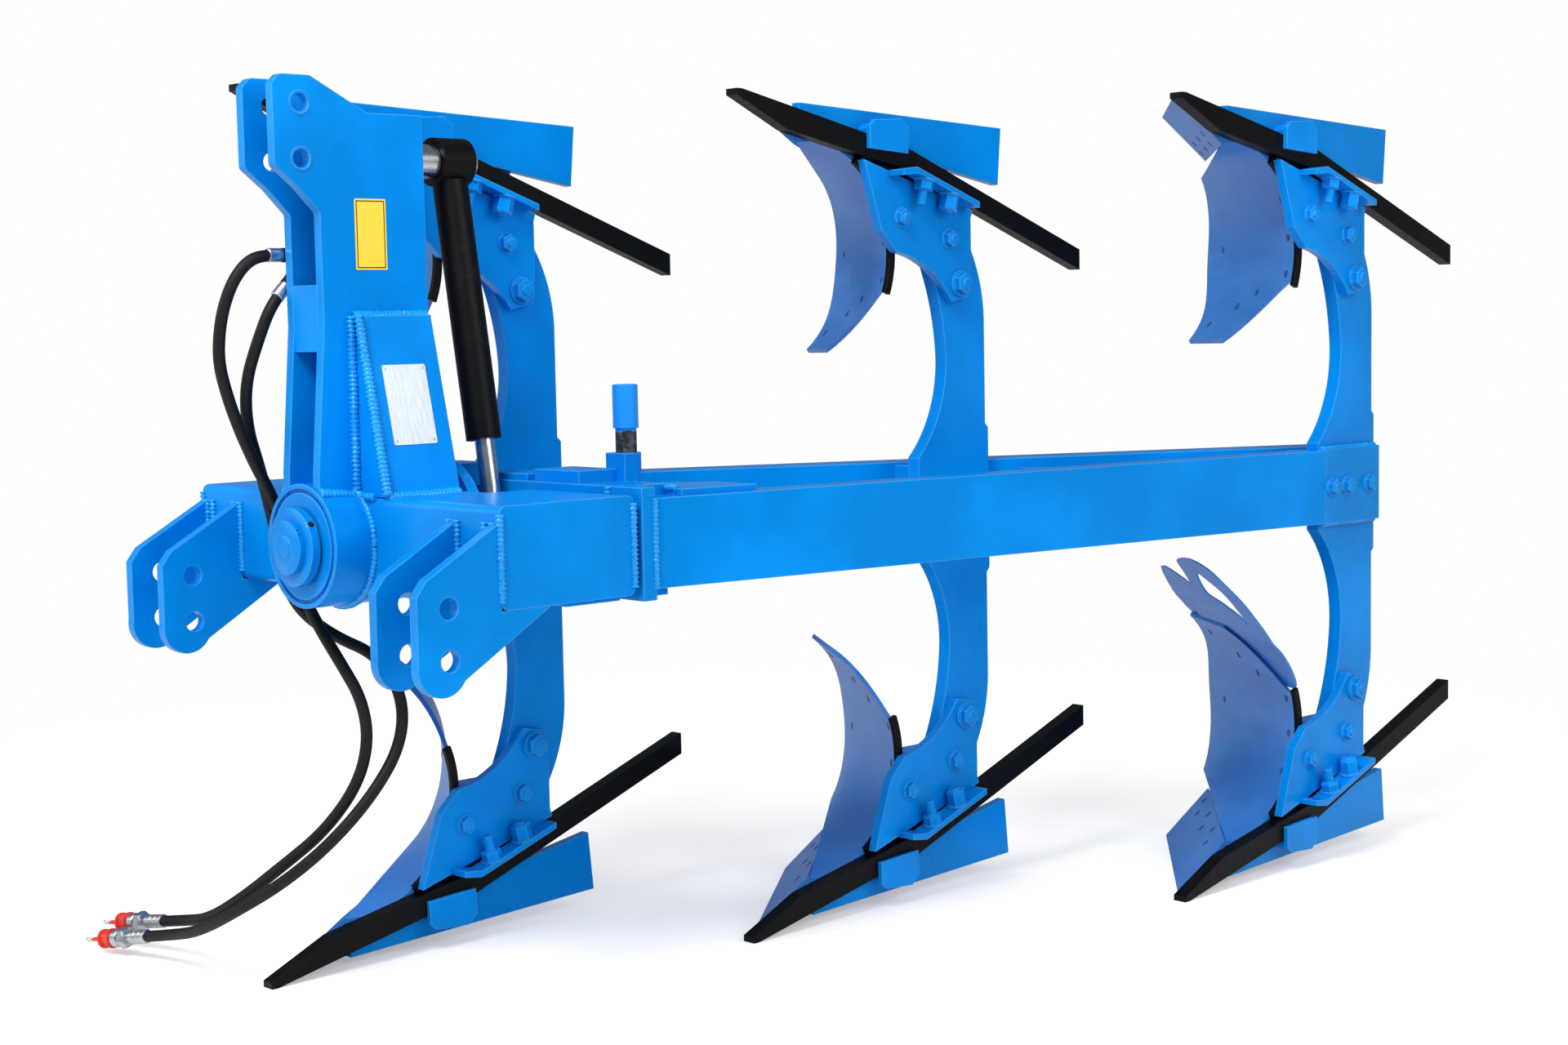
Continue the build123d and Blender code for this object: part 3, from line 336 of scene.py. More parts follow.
# %% Black forged bar
def dipped_black(name, color, scuff):
    bar = Finish(name, color, 0.42, specular=0.14)
    wave = bar.noise(13.0, 3.0, 0.55)
    scratch = bar.noise(24.0, 4.0, 0.65, stretch=(1.0, 0.35, 1.0))
    soft, edge = bar.edges(0.003)
    tone = bar.mix(scratch.step(0.56, 0.74) * 0.5, color, scuff)
    tone = bar.mix(edge * scratch.step(0.35, 0.6) * 0.8, tone, scuff)
    hammered = bar.bump(wave, 0.003, 0.5, over=soft)
    return bar.wear(tone, 0.34 + scratch * 0.22,
                    bar.bump(bar.noise(330.0, 2.0, 0.5), 0.0003, 0.4, over=hammered))


black_bar = dipped_black("satin_black_on_forged_bar", srgb(3, 3, 4), srgb(26, 26, 29))
black_paint = dipped_black("satin_black_paint", srgb(6, 6, 7), srgb(24, 24, 27))

# %% [markdown]
# ## Bare, plated and moulded pieces
# The rod is hard chrome, fittings are zinc plated, the hose cover is cloth-wrapped rubber, and
# the dust caps are soft red plastic. Each needs its own fine surface, or it reads as grey clay.

# %% Metals, rubber and plastic
def machined(name, color, roughness, lines, depth):
    metal = Finish(name, color, roughness, metallic=1.0)
    turned = metal.noise(60.0, 3.0, 0.6, stretch=lines)
    stain = metal.noise(22.0, 3.0, 0.55)
    soft = metal.edges(0.0012)[0]
    dull = tuple(c * 0.62 for c in color)
    return metal.wear(metal.mix(stain.step(0.4, 0.75) * 0.7, color, dull),
                      roughness - 0.06 + turned * 0.14 + stain * 0.06,
                      metal.bump(turned, depth, 0.4, over=soft))


bare_steel = machined("hard_chrome", (0.60, 0.61, 0.63), 0.22, (1.0, 12.0, 1.0), 0.0001)
zinc = machined("zinc_plate", (0.62, 0.64, 0.67), 0.30, (6.0, 1.0, 1.0), 0.00018)

rubber = Finish("wrapped_hose_rubber", srgb(12, 12, 13), 0.55, specular=0.3)
wrap = rubber.noise(520.0, 2.0, 0.5)
rubbed = rubber.noise(17.0, 3.0, 0.6)
grey = rubber.mix(rubbed.step(0.42, 0.72) * 0.6, srgb(6, 6, 7), srgb(20, 20, 22))
hose_rubber = rubber.wear(grey, 0.46 + rubbed * 0.2, rubber.bump(wrap + rubbed, 0.0004, 0.5))

moulded = Finish("red_cap_plastic", srgb(222, 48, 36), 0.36, specular=0.45)
flow = moulded.noise(60.0, 3.0, 0.55)
red = moulded.mix(flow.step(0.35, 0.7), srgb(196, 34, 26), srgb(232, 62, 48))
red_plastic = moulded.wear(red, 0.3 + flow * 0.2, moulded.bump(flow, 0.0006, 0.4))

# %% [markdown]
# ## The swivel pin
# The pin that sets the first furrow is painted at its head and worn to dark steel below, where
# its sleeve slides. The change follows the height on the pin, broken up by noise.

# %% Worn pin
PAINT_ENDS = 0.081  # below the pin's top
pin_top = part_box("swivel_pin")[1].z
worn = Finish("paint_worn_to_dark_steel", AZURE, 0.4, specular=0.4)
height = worn.node("ShaderNodeSeparateXYZ", {}, worn.place, output=2)
ragged = worn.noise(90.0, 4.0, 0.65)
painted = ((height + ragged * 0.012 - (pin_top - PAINT_ENDS)) * 400.0).clamp()
steel = worn.mix(ragged.step(0.42, 0.66), srgb(26, 27, 31), srgb(74, 78, 86))
worn_pin = worn.wear(worn.mix(painted, steel, AZURE), 0.5 - painted * 0.2,
                     worn.bump(ragged, 0.0006, 0.5, over=worn.edges(0.0015)[0]))

# %% [markdown]
# ## Finishes on the CAD pieces
# Each CAD piece keeps its mesh and takes a finish from the record's slot, so a slot name is
# matched to a material once and then every piece is dressed by it.

# %% Dressing the CAD pieces
FINISHES = {
    "blue_paint": blue_paint,
    "soil_face": soil_face,
    "black_steel": black_bar,
    "black_paint": black_paint,
    "bare_steel": bare_steel,
    "zinc": zinc,
    "hose_rubber": hose_rubber,
    "red_plastic": red_plastic,
    "worn_pin": worn_pin,
}
FORGED = ("frogs_", "leg_", "hub_tube", "bar_clamps_", "pivot_bush")


def dress(node, cad_object):
    slots = [m.name for m in cad_object.data.materials if m]
    name = next((key for key in FINISHES if slots and slots[0].startswith(key)), "blue_paint")
    material = FINISHES[name]
    if name == "blue_paint" and node.startswith(FORGED):
        material = cast_blue
    for index in range(len(cad_object.data.materials)):
        cad_object.data.materials[index] = material
    return material.name


dressed = {}
for node, cad_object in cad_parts.items():
    dressed.setdefault(dress(node, cad_object), []).append(node)
for material_name, nodes in dressed.items():
    print(material_name, len(nodes), "pieces")

# %% [markdown]
# ## The studio
# A big soft lamp above and in front, weaker ones from the side and the far front, and an even
# white sky. Only the camera sees the sky at full white: it lights the plough at half strength,
# and reflections see a dim blue-white one, so the light and the gloss stay level. The floor is
# pale, keeps the plough's shadow, and fades to white away from it.

# %% World, lamps and floor
world = bpy.data.worlds.new("studio")
bpy.context.scene.world = world
world.use_nodes = True
sky = Nodes(world.node_tree)
sky.tree.nodes.clear()


def sky_light(color, strength):
    return sky.node("ShaderNodeBackground", {}, Color=color, Strength=strength)


lighting = sky.either("Is Glossy Ray", sky_light((1, 1, 1), 0.55),
                      sky_light((0.75, 0.88, 1), 0.22))
room = sky.either("Is Camera Ray", lighting, sky_light((1, 1, 1), 1.0))
sky.put(sky.tree.nodes.new("ShaderNodeOutputWorld").inputs["Surface"], room)


def soft_lamp(name, where, aim, size, watts):
    lamp = bpy.data.lights.new(name, "AREA")
    lamp.shape = "RECTANGLE"
    lamp.size, lamp.size_y = size
    lamp.energy = watts
    thing = placed(name, lamp)
    thing.location = at(*where)
    thing.rotation_euler = (at(*aim) - at(*where)).to_track_quat("-Z", "Y").to_euler()


soft_lamp("key_lamp", (1500, -2600, 4200), (200, 1200, 0), (2.2, 2.2), 262)
soft_lamp("side_lamp", (4600, 1600, 2200), (300, 1400, 0), (3.0, 2.4), 80)
soft_lamp("front_lamp", (-2600, -3200, 1800), (0, 900, 0), (3.0, 3.0), 60)

REACH, DROP = 60.0, 0.0005  # how far the floor runs, and how far below the points it lies
floor_mesh = bpy.data.meshes.new("floor")
corners = [(x * REACH, y * REACH, -DROP) for x, y in ((-1, -1), (1, -1), (1, 1), (-1, 1))]
floor_mesh.from_pydata(corners, [], [(0, 1, 2, 3)])
floor = placed("floor", floor_mesh)

pale = Finish("pale_floor", (0.885, 0.862, 0.83), 0.9, specular=0.0)
PLOUGH_MIDDLE = at(100, 1300, GROUND)
from_plough = pale.node("ShaderNodeVectorMath", {"operation": "DISTANCE"}, pale.place,
                        tuple(PLOUGH_MIDDLE), output="Value")


def glow(strength):
    return pale.node("ShaderNodeEmission", {}, Strength=strength)


matt = Signal(pale, pale.shader.outputs[0])
lit_floor = pale.node("ShaderNodeAddShader", {}, matt, glow(0.34))
fading = pale.either(from_plough.step(1.5, 3.4), lit_floor, glow(1.0))
seen = pale.either("Is Camera Ray", matt, fading)
pale.put(pale.tree.nodes["Material Output"].inputs["Surface"], seen)
floor_mesh.materials.append(pale.material)
bpy.context.scene.view_settings.view_transform = "Standard"

# %% [markdown]
# ## The hydraulic hoses
# Two hoses feed the turnover cylinder. Each leaves its nipple on the mast, bows forward, passes
# behind the hub and hangs to the ground in front of the plough, where its quick coupler lies. A
# hose is one NURBS curve: its points are the route's corners, and the smooth line cuts inside
# them as a real hose does.

# %% Hoses
HOSE_RADIUS = 0.011
HOSES = {
    "hose_a": [
        (-75, 84, 520), (-75, 44, 520), (-78, 14, 506), (-84, -10, 474), (-91, -26, 430),
        (-98, -33, 384), (-106, -32, 330), (-113, -14, 272), (-119, 10, 214), (-127, 42, 152),
        (-133, 80, 88), (-137, 108, 26), (-130, 122, -46), (-111, 131, -112), (-72, 138, -166),
        (-32, 152, -224), (-4, 176, -290), (6, 182, -366), (-2, 160, -448), (-32, 104, -530),
        (-96, 50, -596), (-186, 22, -662), (-298, 14, -720), (-424, 34, -750), (-518, 14, -764),
    ],
    "hose_b": [
        (-75, 92.2, 464.2), (-75, 62.2, 434.2), (-84, 38, 372), (-108, 22, 294), (-140, 40, 212),
        (-164, 78, 134), (-173, 106, 42), (-166, 118, -46), (-142, 126, -124), (-88, 172, -180),
        (-22, 226, -216), (21, 250, -292), (30, 236, -380), (26, 172, -466), (0, 94, -548),
        (-68, 34, -620), (-166, -10, -682), (-282, -18, -736), (-410, -8, -768), (-504, -30, -784),
    ],
}


def hose_curve(name, route):
    """A round hose along a route of drawing points."""
    data = bpy.data.curves.new(name, "CURVE")
    data.dimensions = "3D"
    spline = data.splines.new("NURBS")
    spline.points.add(len(route) - 1)
    for point, place in zip(spline.points, route):
        point.co = (*at(*place), 1.0)
    spline.order_u = 3
    spline.use_endpoint_u = True
    spline.resolution_u = 10
    data.bevel_depth = HOSE_RADIUS
    data.bevel_resolution = 5
    data.use_fill_caps = True
    data.materials.append(hose_rubber)
    return placed(name, data)


hoses = {name: hose_curve("rubber_" + name, route) for name, route in HOSES.items()}
print(len(hoses), "hoses")

# %% [markdown]
# ## Couplers and caps
# Each hose ends in a crimped ferrule, a coupler with a hexagon and a sleeve, and a soft dust cap
# with a wire ring round its stem. Most of these are turned shapes on one axis, so one profile of
# radii, spun round the hose's last direction, makes each of them.

# %% Turned shapes
def mesh_object(name, vertices, faces, material, smooth=False):
    mesh = bpy.data.meshes.new(name)
    mesh.from_pydata(vertices, [], faces)
    mesh.validate()
    mesh.update()
    mesh.materials.append(material)
    if smooth:
        mesh.shade_smooth()
        mesh.set_sharp_from_angle(angle=math.radians(38))
    return placed(name, mesh)


def turns(sides):
    """The angles of evenly spaced steps round a circle."""
    return [2 * math.pi * step / sides for step in range(sides)]


def spokes(axis, sides):
    """Directions that stand out evenly round an axis."""
    side = axis.orthogonal().normalized()
    other = axis.cross(side)
    return [side * math.cos(angle) + other * math.sin(angle) for angle in turns(sides)]


def walls(first, count, rise):
    """Faces that join a closed line of points to its copy, rise points on in the list."""
    pairs = [(first + i, first + (i + 1) % count) for i in range(count)]
    return [(a, b, b + rise, a + rise) for a, b in pairs]


def spun(profile, start, direction, sides=32, hexes=()):
    """Vertices and faces of a closed turned shape. The profile lists (distance, radius), and
    hexes lists the places in it that are hexagons of that radius to a flat."""
    direction = direction.normalized()
    vertices, faces = [], []
    for index, (distance, radius) in enumerate(profile):
        for angle, spoke in zip(turns(sides), spokes(direction, sides)):
            r = radius
            if index in hexes:
                r = radius / math.cos((angle + math.pi / 6) % (math.pi / 3) - math.pi / 6)
            vertices.append(start + direction * distance + spoke * r)
    last = (len(profile) - 1) * sides
    for ring in range(0, last, sides):
        faces += walls(ring, sides, sides)
    return vertices, faces + [tuple(reversed(range(sides))), tuple(range(last, last + sides))]


def gather(shapes):
    """Several (vertices, faces) pairs as one."""
    vertices, faces = [], []
    for some, more in shapes:
        base = len(vertices)
        vertices += some
        faces += [tuple(i + base for i in face) for face in more]
    return vertices, faces


# %% Ferrules, couplers and caps
def mm(*pairs):
    """A profile in millimetres as one in metres."""
    return [(a / 1000, b / 1000) for a, b in pairs]


FERRULE = mm((-32, 11.6), (-31, 13.8), (-22, 13.8), (-21, 12.8), (-18, 12.8), (-17, 13.8),
             (-8, 13.8), (-7, 12.8), (-4, 12.8), (-3, 13.8), (12, 13.8), (13, 10.6), (16, 9.4),
             (24, 9.4))
COUPLER = mm((0, 9.4), (0.5, 17.0), (2, 18.4), (15, 18.4), (16.5, 17.0), (17, 11.4), (20, 11.4),
             (20.5, 16.8), (22, 18.0), (35, 18.0), (37, 15.4), (42, 15.0))
COUPLER_HEXAGON = (2, 3)
CAP = mm((0, 18.2), (1, 19.6), (6, 19.6), (7, 16.6), (21, 16.2), (22, 19.0), (28, 19.0),
         (30, 12.0), (32, 5.0), (62, 4.0))
COUPLER_AT, CAP_AT, PULL_RING_AT = 0.024, 0.066, 0.1405  # beyond the hose's end
PULL_RING, PULL_WIRE = 0.0062, 0.0013


def loop_faces(steps, round_section):
    """Faces of a closed tube whose section has some points and is repeated in steps."""
    return [
        (step * round_section + k,
         (step + 1) % steps * round_section + k,
         (step + 1) % steps * round_section + (k + 1) % round_section,
         step * round_section + (k + 1) % round_section)
        for step in range(steps) for k in range(round_section)
    ]


def wire_ring(centre, axis, radius, wire, sides=24, section=8):
    """A closed ring of wire whose plane holds the axis."""
    axis = axis.normalized()
    up = axis.cross(axis.orthogonal()).normalized()
    across = axis.cross(up)
    vertices = []
    for angle in turns(sides):
        outward = axis * math.cos(angle) + up * math.sin(angle)
        vertices += [centre + outward * (radius + wire * math.cos(roll))
                     + across * wire * math.sin(roll) for roll in turns(section)]
    return vertices, loop_faces(sides, section)


fittings = {}
for name, route in HOSES.items():
    end, before = at(*route[-1]), at(*route[-2])
    away = (end - before).normalized()
    fittings[name] = [
        mesh_object("crimped_ferrule_" + name[-1], *spun(FERRULE, end, away), zinc, smooth=True),
        mesh_object("quick_coupler_" + name[-1], *gather([
            spun(COUPLER, end + away * COUPLER_AT, away, sides=36, hexes=COUPLER_HEXAGON),
            wire_ring(end + away * PULL_RING_AT, away, PULL_RING, PULL_WIRE),
        ]), zinc, smooth=True),
        mesh_object("dust_cap_" + name[-1], *spun(CAP, end + away * CAP_AT, away), red_plastic,
                    smooth=True),
    ]
print("fittings", [piece.name for pieces in fittings.values() for piece in pieces])

# %% [markdown]
# ## The shaft's collar and lock nut
# The turnover shaft is held in the hub by a collar and a round lock nut, painted with the rest.
# Both have sockets in their rims for a hook spanner. They are turned shapes a hair larger than
# the CAD pieces that they cover, and each socket is a disc just proud of the rim, coloured dark as
# a painted shade inside the hole.

# %% Collar and lock nut
COLLAR = mm((0, 47), (0.2, 69.4), (0.9, 70.6), (17.0, 70.6), (17.2, 60))
NUT = mm((-2.5, 12), (-2.4, 19), (-1.6, 20), (0, 20.4), (0.1, 24), (0.1, 47.4), (0.9, 48.6),
         (12.6, 48.6))
COLLAR_Y, NUT_Y = 35.5, 23.5
BACKWARD = Vector((0, 1, 0))
SOCKET_ANGLES = (38, 158, 278)
SOCKETS = ((48, 30, 5.5, 0.0008), (70, 45, 6.0, 0.0006))  # rim, Y, hole and how far it is sunk
collar = mesh_object("painted_collar", *spun(COLLAR, at(0, COLLAR_Y, 0), BACKWARD, sides=64),
                     cast_blue, smooth=True)
nut = mesh_object("painted_lock_nut", *spun(NUT, at(0, NUT_Y, 0), BACKWARD, sides=64),
                  cast_blue, smooth=True)
# Painted shade: each socket's dark disc stands for the shade inside the hole.
painted_hole_shade = Finish("dark_inside_a_hole", srgb(9, 20, 38), 0.8, specular=0.1)
painted_hole_shade.set("Roughness", 0.6 + painted_hole_shade.noise(90.0, 2.0, 0.5) * 0.3)
sockets = []
for angle in map(math.radians, SOCKET_ANGLES):
    outward = Vector((math.cos(angle), 0, math.sin(angle)))
    for rim, y, hole, sunk in SOCKETS:
        start = at(rim * outward.x, y, rim * outward.z) - outward * sunk
        sockets.append(spun(mm((0, hole), (1.2, hole)), start, outward, sides=20))
holes = mesh_object("spanner_sockets", *gather(sockets), painted_hole_shade.material)
for thing in (collar, nut, holes):
    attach(thing, "turning_frame")

# %% [markdown]
# ## Rubbed rings round the link holes
# The top link's washers rub the paint round each hole of the mast. Each rub is a thin painted
# ring that stands clear of the bore, so that a pin still slides through.

# %% Rings round the holes
def flat_ring(centre, outward, inner, outer, height, sides=40):
    """A low ring with an open middle and bevelled rims."""
    outward = outward.normalized()
    bevel = height * 0.4
    section = [(inner, 0), (outer, 0), (outer - bevel, height), (inner + bevel, height)]
    vertices = [centre + spoke * radius + outward * rise
                for spoke in spokes(outward, sides) for radius, rise in section]
    return vertices, loop_faces(sides, len(section))


RUB_INNER, RUB_OUTER, RUB_HEIGHT = 0.0172, 0.0222, 0.0011
MAST_FACE, HOLE_Y, HOLE_HEIGHTS = 59, 50, (683, 780)
link_rings = [flat_ring(at(side * MAST_FACE, HOLE_Y, z), Vector((side, 0, 0)),
                        RUB_INNER, RUB_OUTER, RUB_HEIGHT)
              for side in (1, -1) for z in HOLE_HEIGHTS]
rings = mesh_object("link_hole_rings", *gather(link_rings), cast_blue)
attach(rings, "headstock")

# %% [markdown]
# ## Hose nipples
# Each hose leaves the mast through a zinc-plated crimp and a hexagon that is screwed into the
# port block.

# %% Nipples at the mast
NIPPLE = mm((-30, 9.5), (-29, 12.8), (-17, 12.8), (-16, 9.8), (-6, 9.8), (-5, 12.2),
            (-1, 12.9), (4, 12.3), (8, 12.9), (12, 12.3), (16, 12.9), (20, 12.3), (24, 12.9),
            (27, 12.6), (28, 11.2))
NIPPLE_HEXAGON = (1, 2)
nipples = []
for route in HOSES.values():
    start, after = at(*route[0]), at(*route[1])
    nipples.append(spun(NIPPLE, start, (after - start).normalized(), sides=36,
                        hexes=NIPPLE_HEXAGON))
ports = mesh_object("hose_nipples", *gather(nipples), zinc, smooth=True)
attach(ports, "headstock")

# %% [markdown]
# ## Geometry Nodes in a few words
# Fasteners and welds are each built by a node tree. Both trees begin with named sizes and a
# material and end by making their copies real and coating them, so one small class holds that.

# %% Tree
class Tree(Nodes):
    """A Geometry Nodes tree with named sizes for inputs."""

    def __init__(self, name, **sizes):
        super().__init__(bpy.data.node_groups.new(name, "GeometryNodeTree"))
        face = self.tree.interface
        face.new_socket("Geometry", in_out="INPUT", socket_type="NodeSocketGeometry")
        for label, value in sizes.items():
            size = face.new_socket(label.replace("_", " "), in_out="INPUT",
                                   socket_type="NodeSocketFloat")
            size.default_value = value
        face.new_socket("Material", in_out="INPUT", socket_type="NodeSocketMaterial")
        face.new_socket("Geometry", in_out="OUTPUT", socket_type="NodeSocketGeometry")
        outputs = self.tree.nodes.new("NodeGroupInput").outputs
        self.given = {socket.name: Signal(self, socket) for socket in outputs}

    def close(self, shape):
        """Make the copies real, coat them and hand them out."""
        real = self.node("GeometryNodeRealizeInstances", {}, Geometry=shape)
        coat = self.node("GeometryNodeSetMaterial", {}, Geometry=real,
                         Material=self.given["Material"])
        self.put(self.tree.nodes.new("NodeGroupOutput").inputs[0], coat)
        return self.tree


def run_tree(name, points, group, inputs, material, headings=()):
    """Run a tree on a point mesh or seams and return the result as a plain mesh object."""
    holder = placed(name + "_points", points)
    if headings:
        layer = points.attributes.new("heading", "FLOAT_VECTOR", "POINT")
        for item, heading in zip(layer.data, headings):
            item.vector = Vector(heading).normalized()
    modifier = holder.modifiers.new("nodes", "NODES")
    modifier.node_group = group
    inputs = {**inputs, "Material": material}
    for item in group.interface.items_tree:
        if item.in_out == "INPUT" and item.name in inputs:
            modifier[item.identifier] = inputs[item.name]
    graph = bpy.context.evaluated_depsgraph_get()
    made = bpy.data.meshes.new_from_object(holder.evaluated_get(graph))
    made.name = name
    made.materials.clear()
    made.materials.append(material)
    for polygon in made.polygons:
        polygon.material_index = 0
    thing = placed(name, made)
    bpy.data.objects.remove(holder)
    return thing


# %% [markdown]
# ## Nuts and bolts with Geometry Nodes
# Every fastener on the plough is the same idea: a washer, a hexagon with a chamfered top, and
# the stud's end. One node tree builds it at real size from named inputs and sets a copy on each
# point of a small mesh, turned to that point's own direction.

# %% Fastener tree
CHAMFER_FROM, CHAMFER_TO = 0.86, 0.86  # of the hexagon's height, and of its width at the top
HEXAGON_TO = 0.87  # a little past the chamfer's start, so that no two faces lie together
WASHER_WIDTH, STUD_TAPER = 1.16, 0.9


def fastener_tree():
    tree = Tree("hexagon_fastener", Across_corners=0.017, Height=0.013, Washer=0.0, Stud=0.0,
                Stud_radius=0.008)
    points, corner, tall, washer, stud, stud_radius = list(tree.given.values())[:6]
    join = tree.node("GeometryNodeJoinGeometry", {})

    def prism(sides, bottom, top, depth, lift):
        cone = tree.node("GeometryNodeMeshCone", {"fill_type": "NGON"}, Vertices=sides,
                         Radius_Bottom=bottom, Radius_Top=top, Depth=depth)
        raised = tree.node("ShaderNodeCombineXYZ", {}, Z=lift)
        moved = tree.node("GeometryNodeTransform", {}, Geometry=cone, Translation=raised)
        tree.put(join.socket.node.inputs[0], moved)

    washer_radius = corner * WASHER_WIDTH
    prism(24, washer_radius, washer_radius, washer, 0.0)
    prism(6, corner, corner, tall * HEXAGON_TO, washer)
    prism(6, corner, corner * CHAMFER_TO, tall * (1 - CHAMFER_FROM),
          washer + tall * CHAMFER_FROM)
    prism(16, stud_radius, stud_radius * STUD_TAPER, stud, washer + tall)
    heading = tree.node("GeometryNodeInputNamedAttribute", {"data_type": "FLOAT_VECTOR"},
                        Name="heading", output="Attribute")
    turned = tree.node("FunctionNodeAlignRotationToVector", {"axis": "Z"}, Vector=heading)
    return tree.close(tree.node("GeometryNodeInstanceOnPoints", {}, Points=points,
                                Instance=join, Rotation=turned))


FASTENER = fastener_tree()


def fasteners(name, body, material, places, corner, height, washer, stud, stud_radius):
    """Fasteners at (drawing point, outward direction) pairs, on one body, sizes in metres."""
    sizes = {"Across corners": corner, "Height": height, "Washer": washer, "Stud": stud,
             "Stud radius": stud_radius}
    points = bpy.data.meshes.new(name + "_at")
    points.from_pydata([at(*place) for place, heading in places], [], [])
    thing = run_tree(name, points, FASTENER, sizes, material,
                     [heading for place, heading in places])
    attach(thing, body)
    print(name, len(places), "fasteners,", len(thing.data.polygons), "faces")


# %% [markdown]
# ## Bolts of the bodies
# Each frog is bolted to its leg by three bolts, one of them the shear bolt that breaks first.
# The bar's clamp has a stud and a tall nut, which are slackened to let the bar out as its tip
# wears.

# %% Body bolts
FROG_FACE, LEG_BACK = 35.0, -15  # X of a frog's outer and a leg's inner face, from the leg
UPPER_BOLT = -454  # height of the frog's upper bolt, from the axis
BODY_BOLTS = (  # name, Y from the leg, height from the axis, corner, height, washer
    ("upper_frog_bolts", 0, UPPER_BOLT, 0.0232, 0.016, 0.005),
    ("shear_bolts", -32, -547, 0.0182, 0.014, 0.002),
    ("front_frog_bolts", -172, -589, 0.0178, 0.013, 0.002),
)
for bolt_name, back, height, corner, tall, washer in BODY_BOLTS:
    heads = [(spot, (1, 0, 0)) for bx, by in STATIONS
             for spot in both_sides(bx + FROG_FACE, by + back, height)]
    fasteners(bolt_name, "turning_frame", cast_blue, heads,
              corner=corner, height=tall, washer=washer, stud=0.004,
              stud_radius=corner * 0.5)

# %% Clamp studs and end bolts
CLAMP_MIDDLE = 57  # X of the clamp's studs, from the leg
CLAMP_STUDS = (  # name, Y from the leg, height above the ground, tall, stud
    ("rear_clamp_studs", -49, 189, 0.032, 0.004),
    ("front_clamp_studs", -124, 161, 0.019, 0.030),
)
for stud_name, back, above, tall, stud in CLAMP_STUDS:
    studs = [((bx + CLAMP_MIDDLE, by + back, side * (GROUND + above)), (0, -0.25, side))
             for bx, by in STATIONS for side in (1, -1)]
    fasteners(stud_name, "turning_frame", cast_blue, studs,
              corner=0.0205, height=tall, washer=0.004, stud=stud, stud_radius=0.0105)
END_PLATE_FACE, END_BOLTS_Y = 725, (2205, 2262, 2348)
end_bolts = [((END_PLATE_FACE, y, 0), (1, 0, 0)) for y in END_BOLTS_Y]
end_bolts += [(spot, (-1, 0, 0)) for bx, by in STATIONS
              for spot in both_sides(bx + LEG_BACK, by, UPPER_BOLT)]
fasteners("end_plate_bolts", "turning_frame", cast_blue, end_bolts,
          corner=0.0175, height=0.0135, washer=0.003, stud=0.001, stud_radius=0.008)

# %% [markdown]
# ## Plough bolts in the soil faces
# Shares and mouldboards are held by countersunk bolts whose heads lie flush, so that soil slides
# over them. Each head's place is found by looking straight back at the CAD face: the ray gives
# both the point and the direction that the face looks there.

# %% Flush bolts
LOOK_FROM = 1200  # ahead of the leg


def on_face(node, x, y, z):
    """The first point of a CAD piece straight behind a drawing point, and its outward normal."""
    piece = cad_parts[node]
    into = piece.matrix_world.inverted()
    found, point, normal, face = piece.ray_cast(into @ at(x, y, z), into.to_3x3() @ BACKWARD)
    return [(piece.matrix_world @ point, piece.matrix_world.to_3x3() @ normal)] if found else []


# X from the leg and height above the ground of each bolt.
BOARD_BOLTS = [(-26, 205), (-26, 285), (-30, 362), (-150, 400), (-225, 430), (-330, 470),
               (-350, 300)]
SHARE_BOLTS = [(-92, 66), (-112, 84), (-190, 66), (-212, 84), (-290, 66), (-312, 84)]
marks = []
for bx, by in STATIONS:
    for side, half in ((1, "lower"), (-1, "upper")):
        for piece_name, spots in (("mouldboards_", BOARD_BOLTS), ("shares_", SHARE_BOLTS)):
            for x, above in spots:
                marks += on_face(piece_name + half, bx + x, by - LOOK_FROM,
                                 side * (GROUND + above))
flush = Finish("paint_round_flush_bolts", srgb(30, 66, 130), 0.5, specular=0.3)
chips = flush.noise(400.0, 3.0, 0.6)
flush.wear(flush.mix(chips.step(0.45, 0.6), srgb(24, 52, 110), srgb(58, 104, 178)),
           0.4 + chips * 0.3)
heads = [((point - AXIS) * 1000, normal) for point, normal in marks]
fasteners("flush_plough_bolts", "turning_frame", flush.material, heads,
          corner=0.0072, height=0.0004, washer=0.0005, stud=0.0003, stud_radius=0.0036)

# %% [markdown]
# ## The last mouldboard's extension
# The rearmost board carries a bolted extension that turns the slice right over: a slotted hoop
# along its top edge, and a small flag beyond it. Both are cut from plate, and carry on the
# board's own curve. A board is ruled between two arcs, a tight one at the shin and a wide one at
# the tail, so the arc at any X lies in proportion between them.

# %% Mouldboard extension
SHIN_X, BOARD_WIDTH = 5, 405
SHIN_ARC, TAIL_ARC = (-398, 308, 217), (-200, 270, 290)  # middle's Y and height, and radius
ARC_ENDS = 0.88  # of the radius above the middle: from there the board runs on straight
HOOP_BEHIND, HOOP_THICK = 11.5, 8
FLAG_BEHIND, FLAG_THICK = 20.0, 7


def board_depth(x, z):
    """Y of the mouldboard's face behind its leg, from X and the height above the ground."""
    share_out = (SHIN_X - x) / BOARD_WIDTH
    middle_y, middle_z, radius = (a + (b - a) * share_out for a, b in zip(SHIN_ARC, TAIL_ARC))
    rise = min((z - middle_z) / radius, ARC_ENDS)
    lean = max(0.0, z - middle_z - radius * ARC_ENDS)
    return middle_y + radius * math.sqrt(1 - rise * rise) - lean


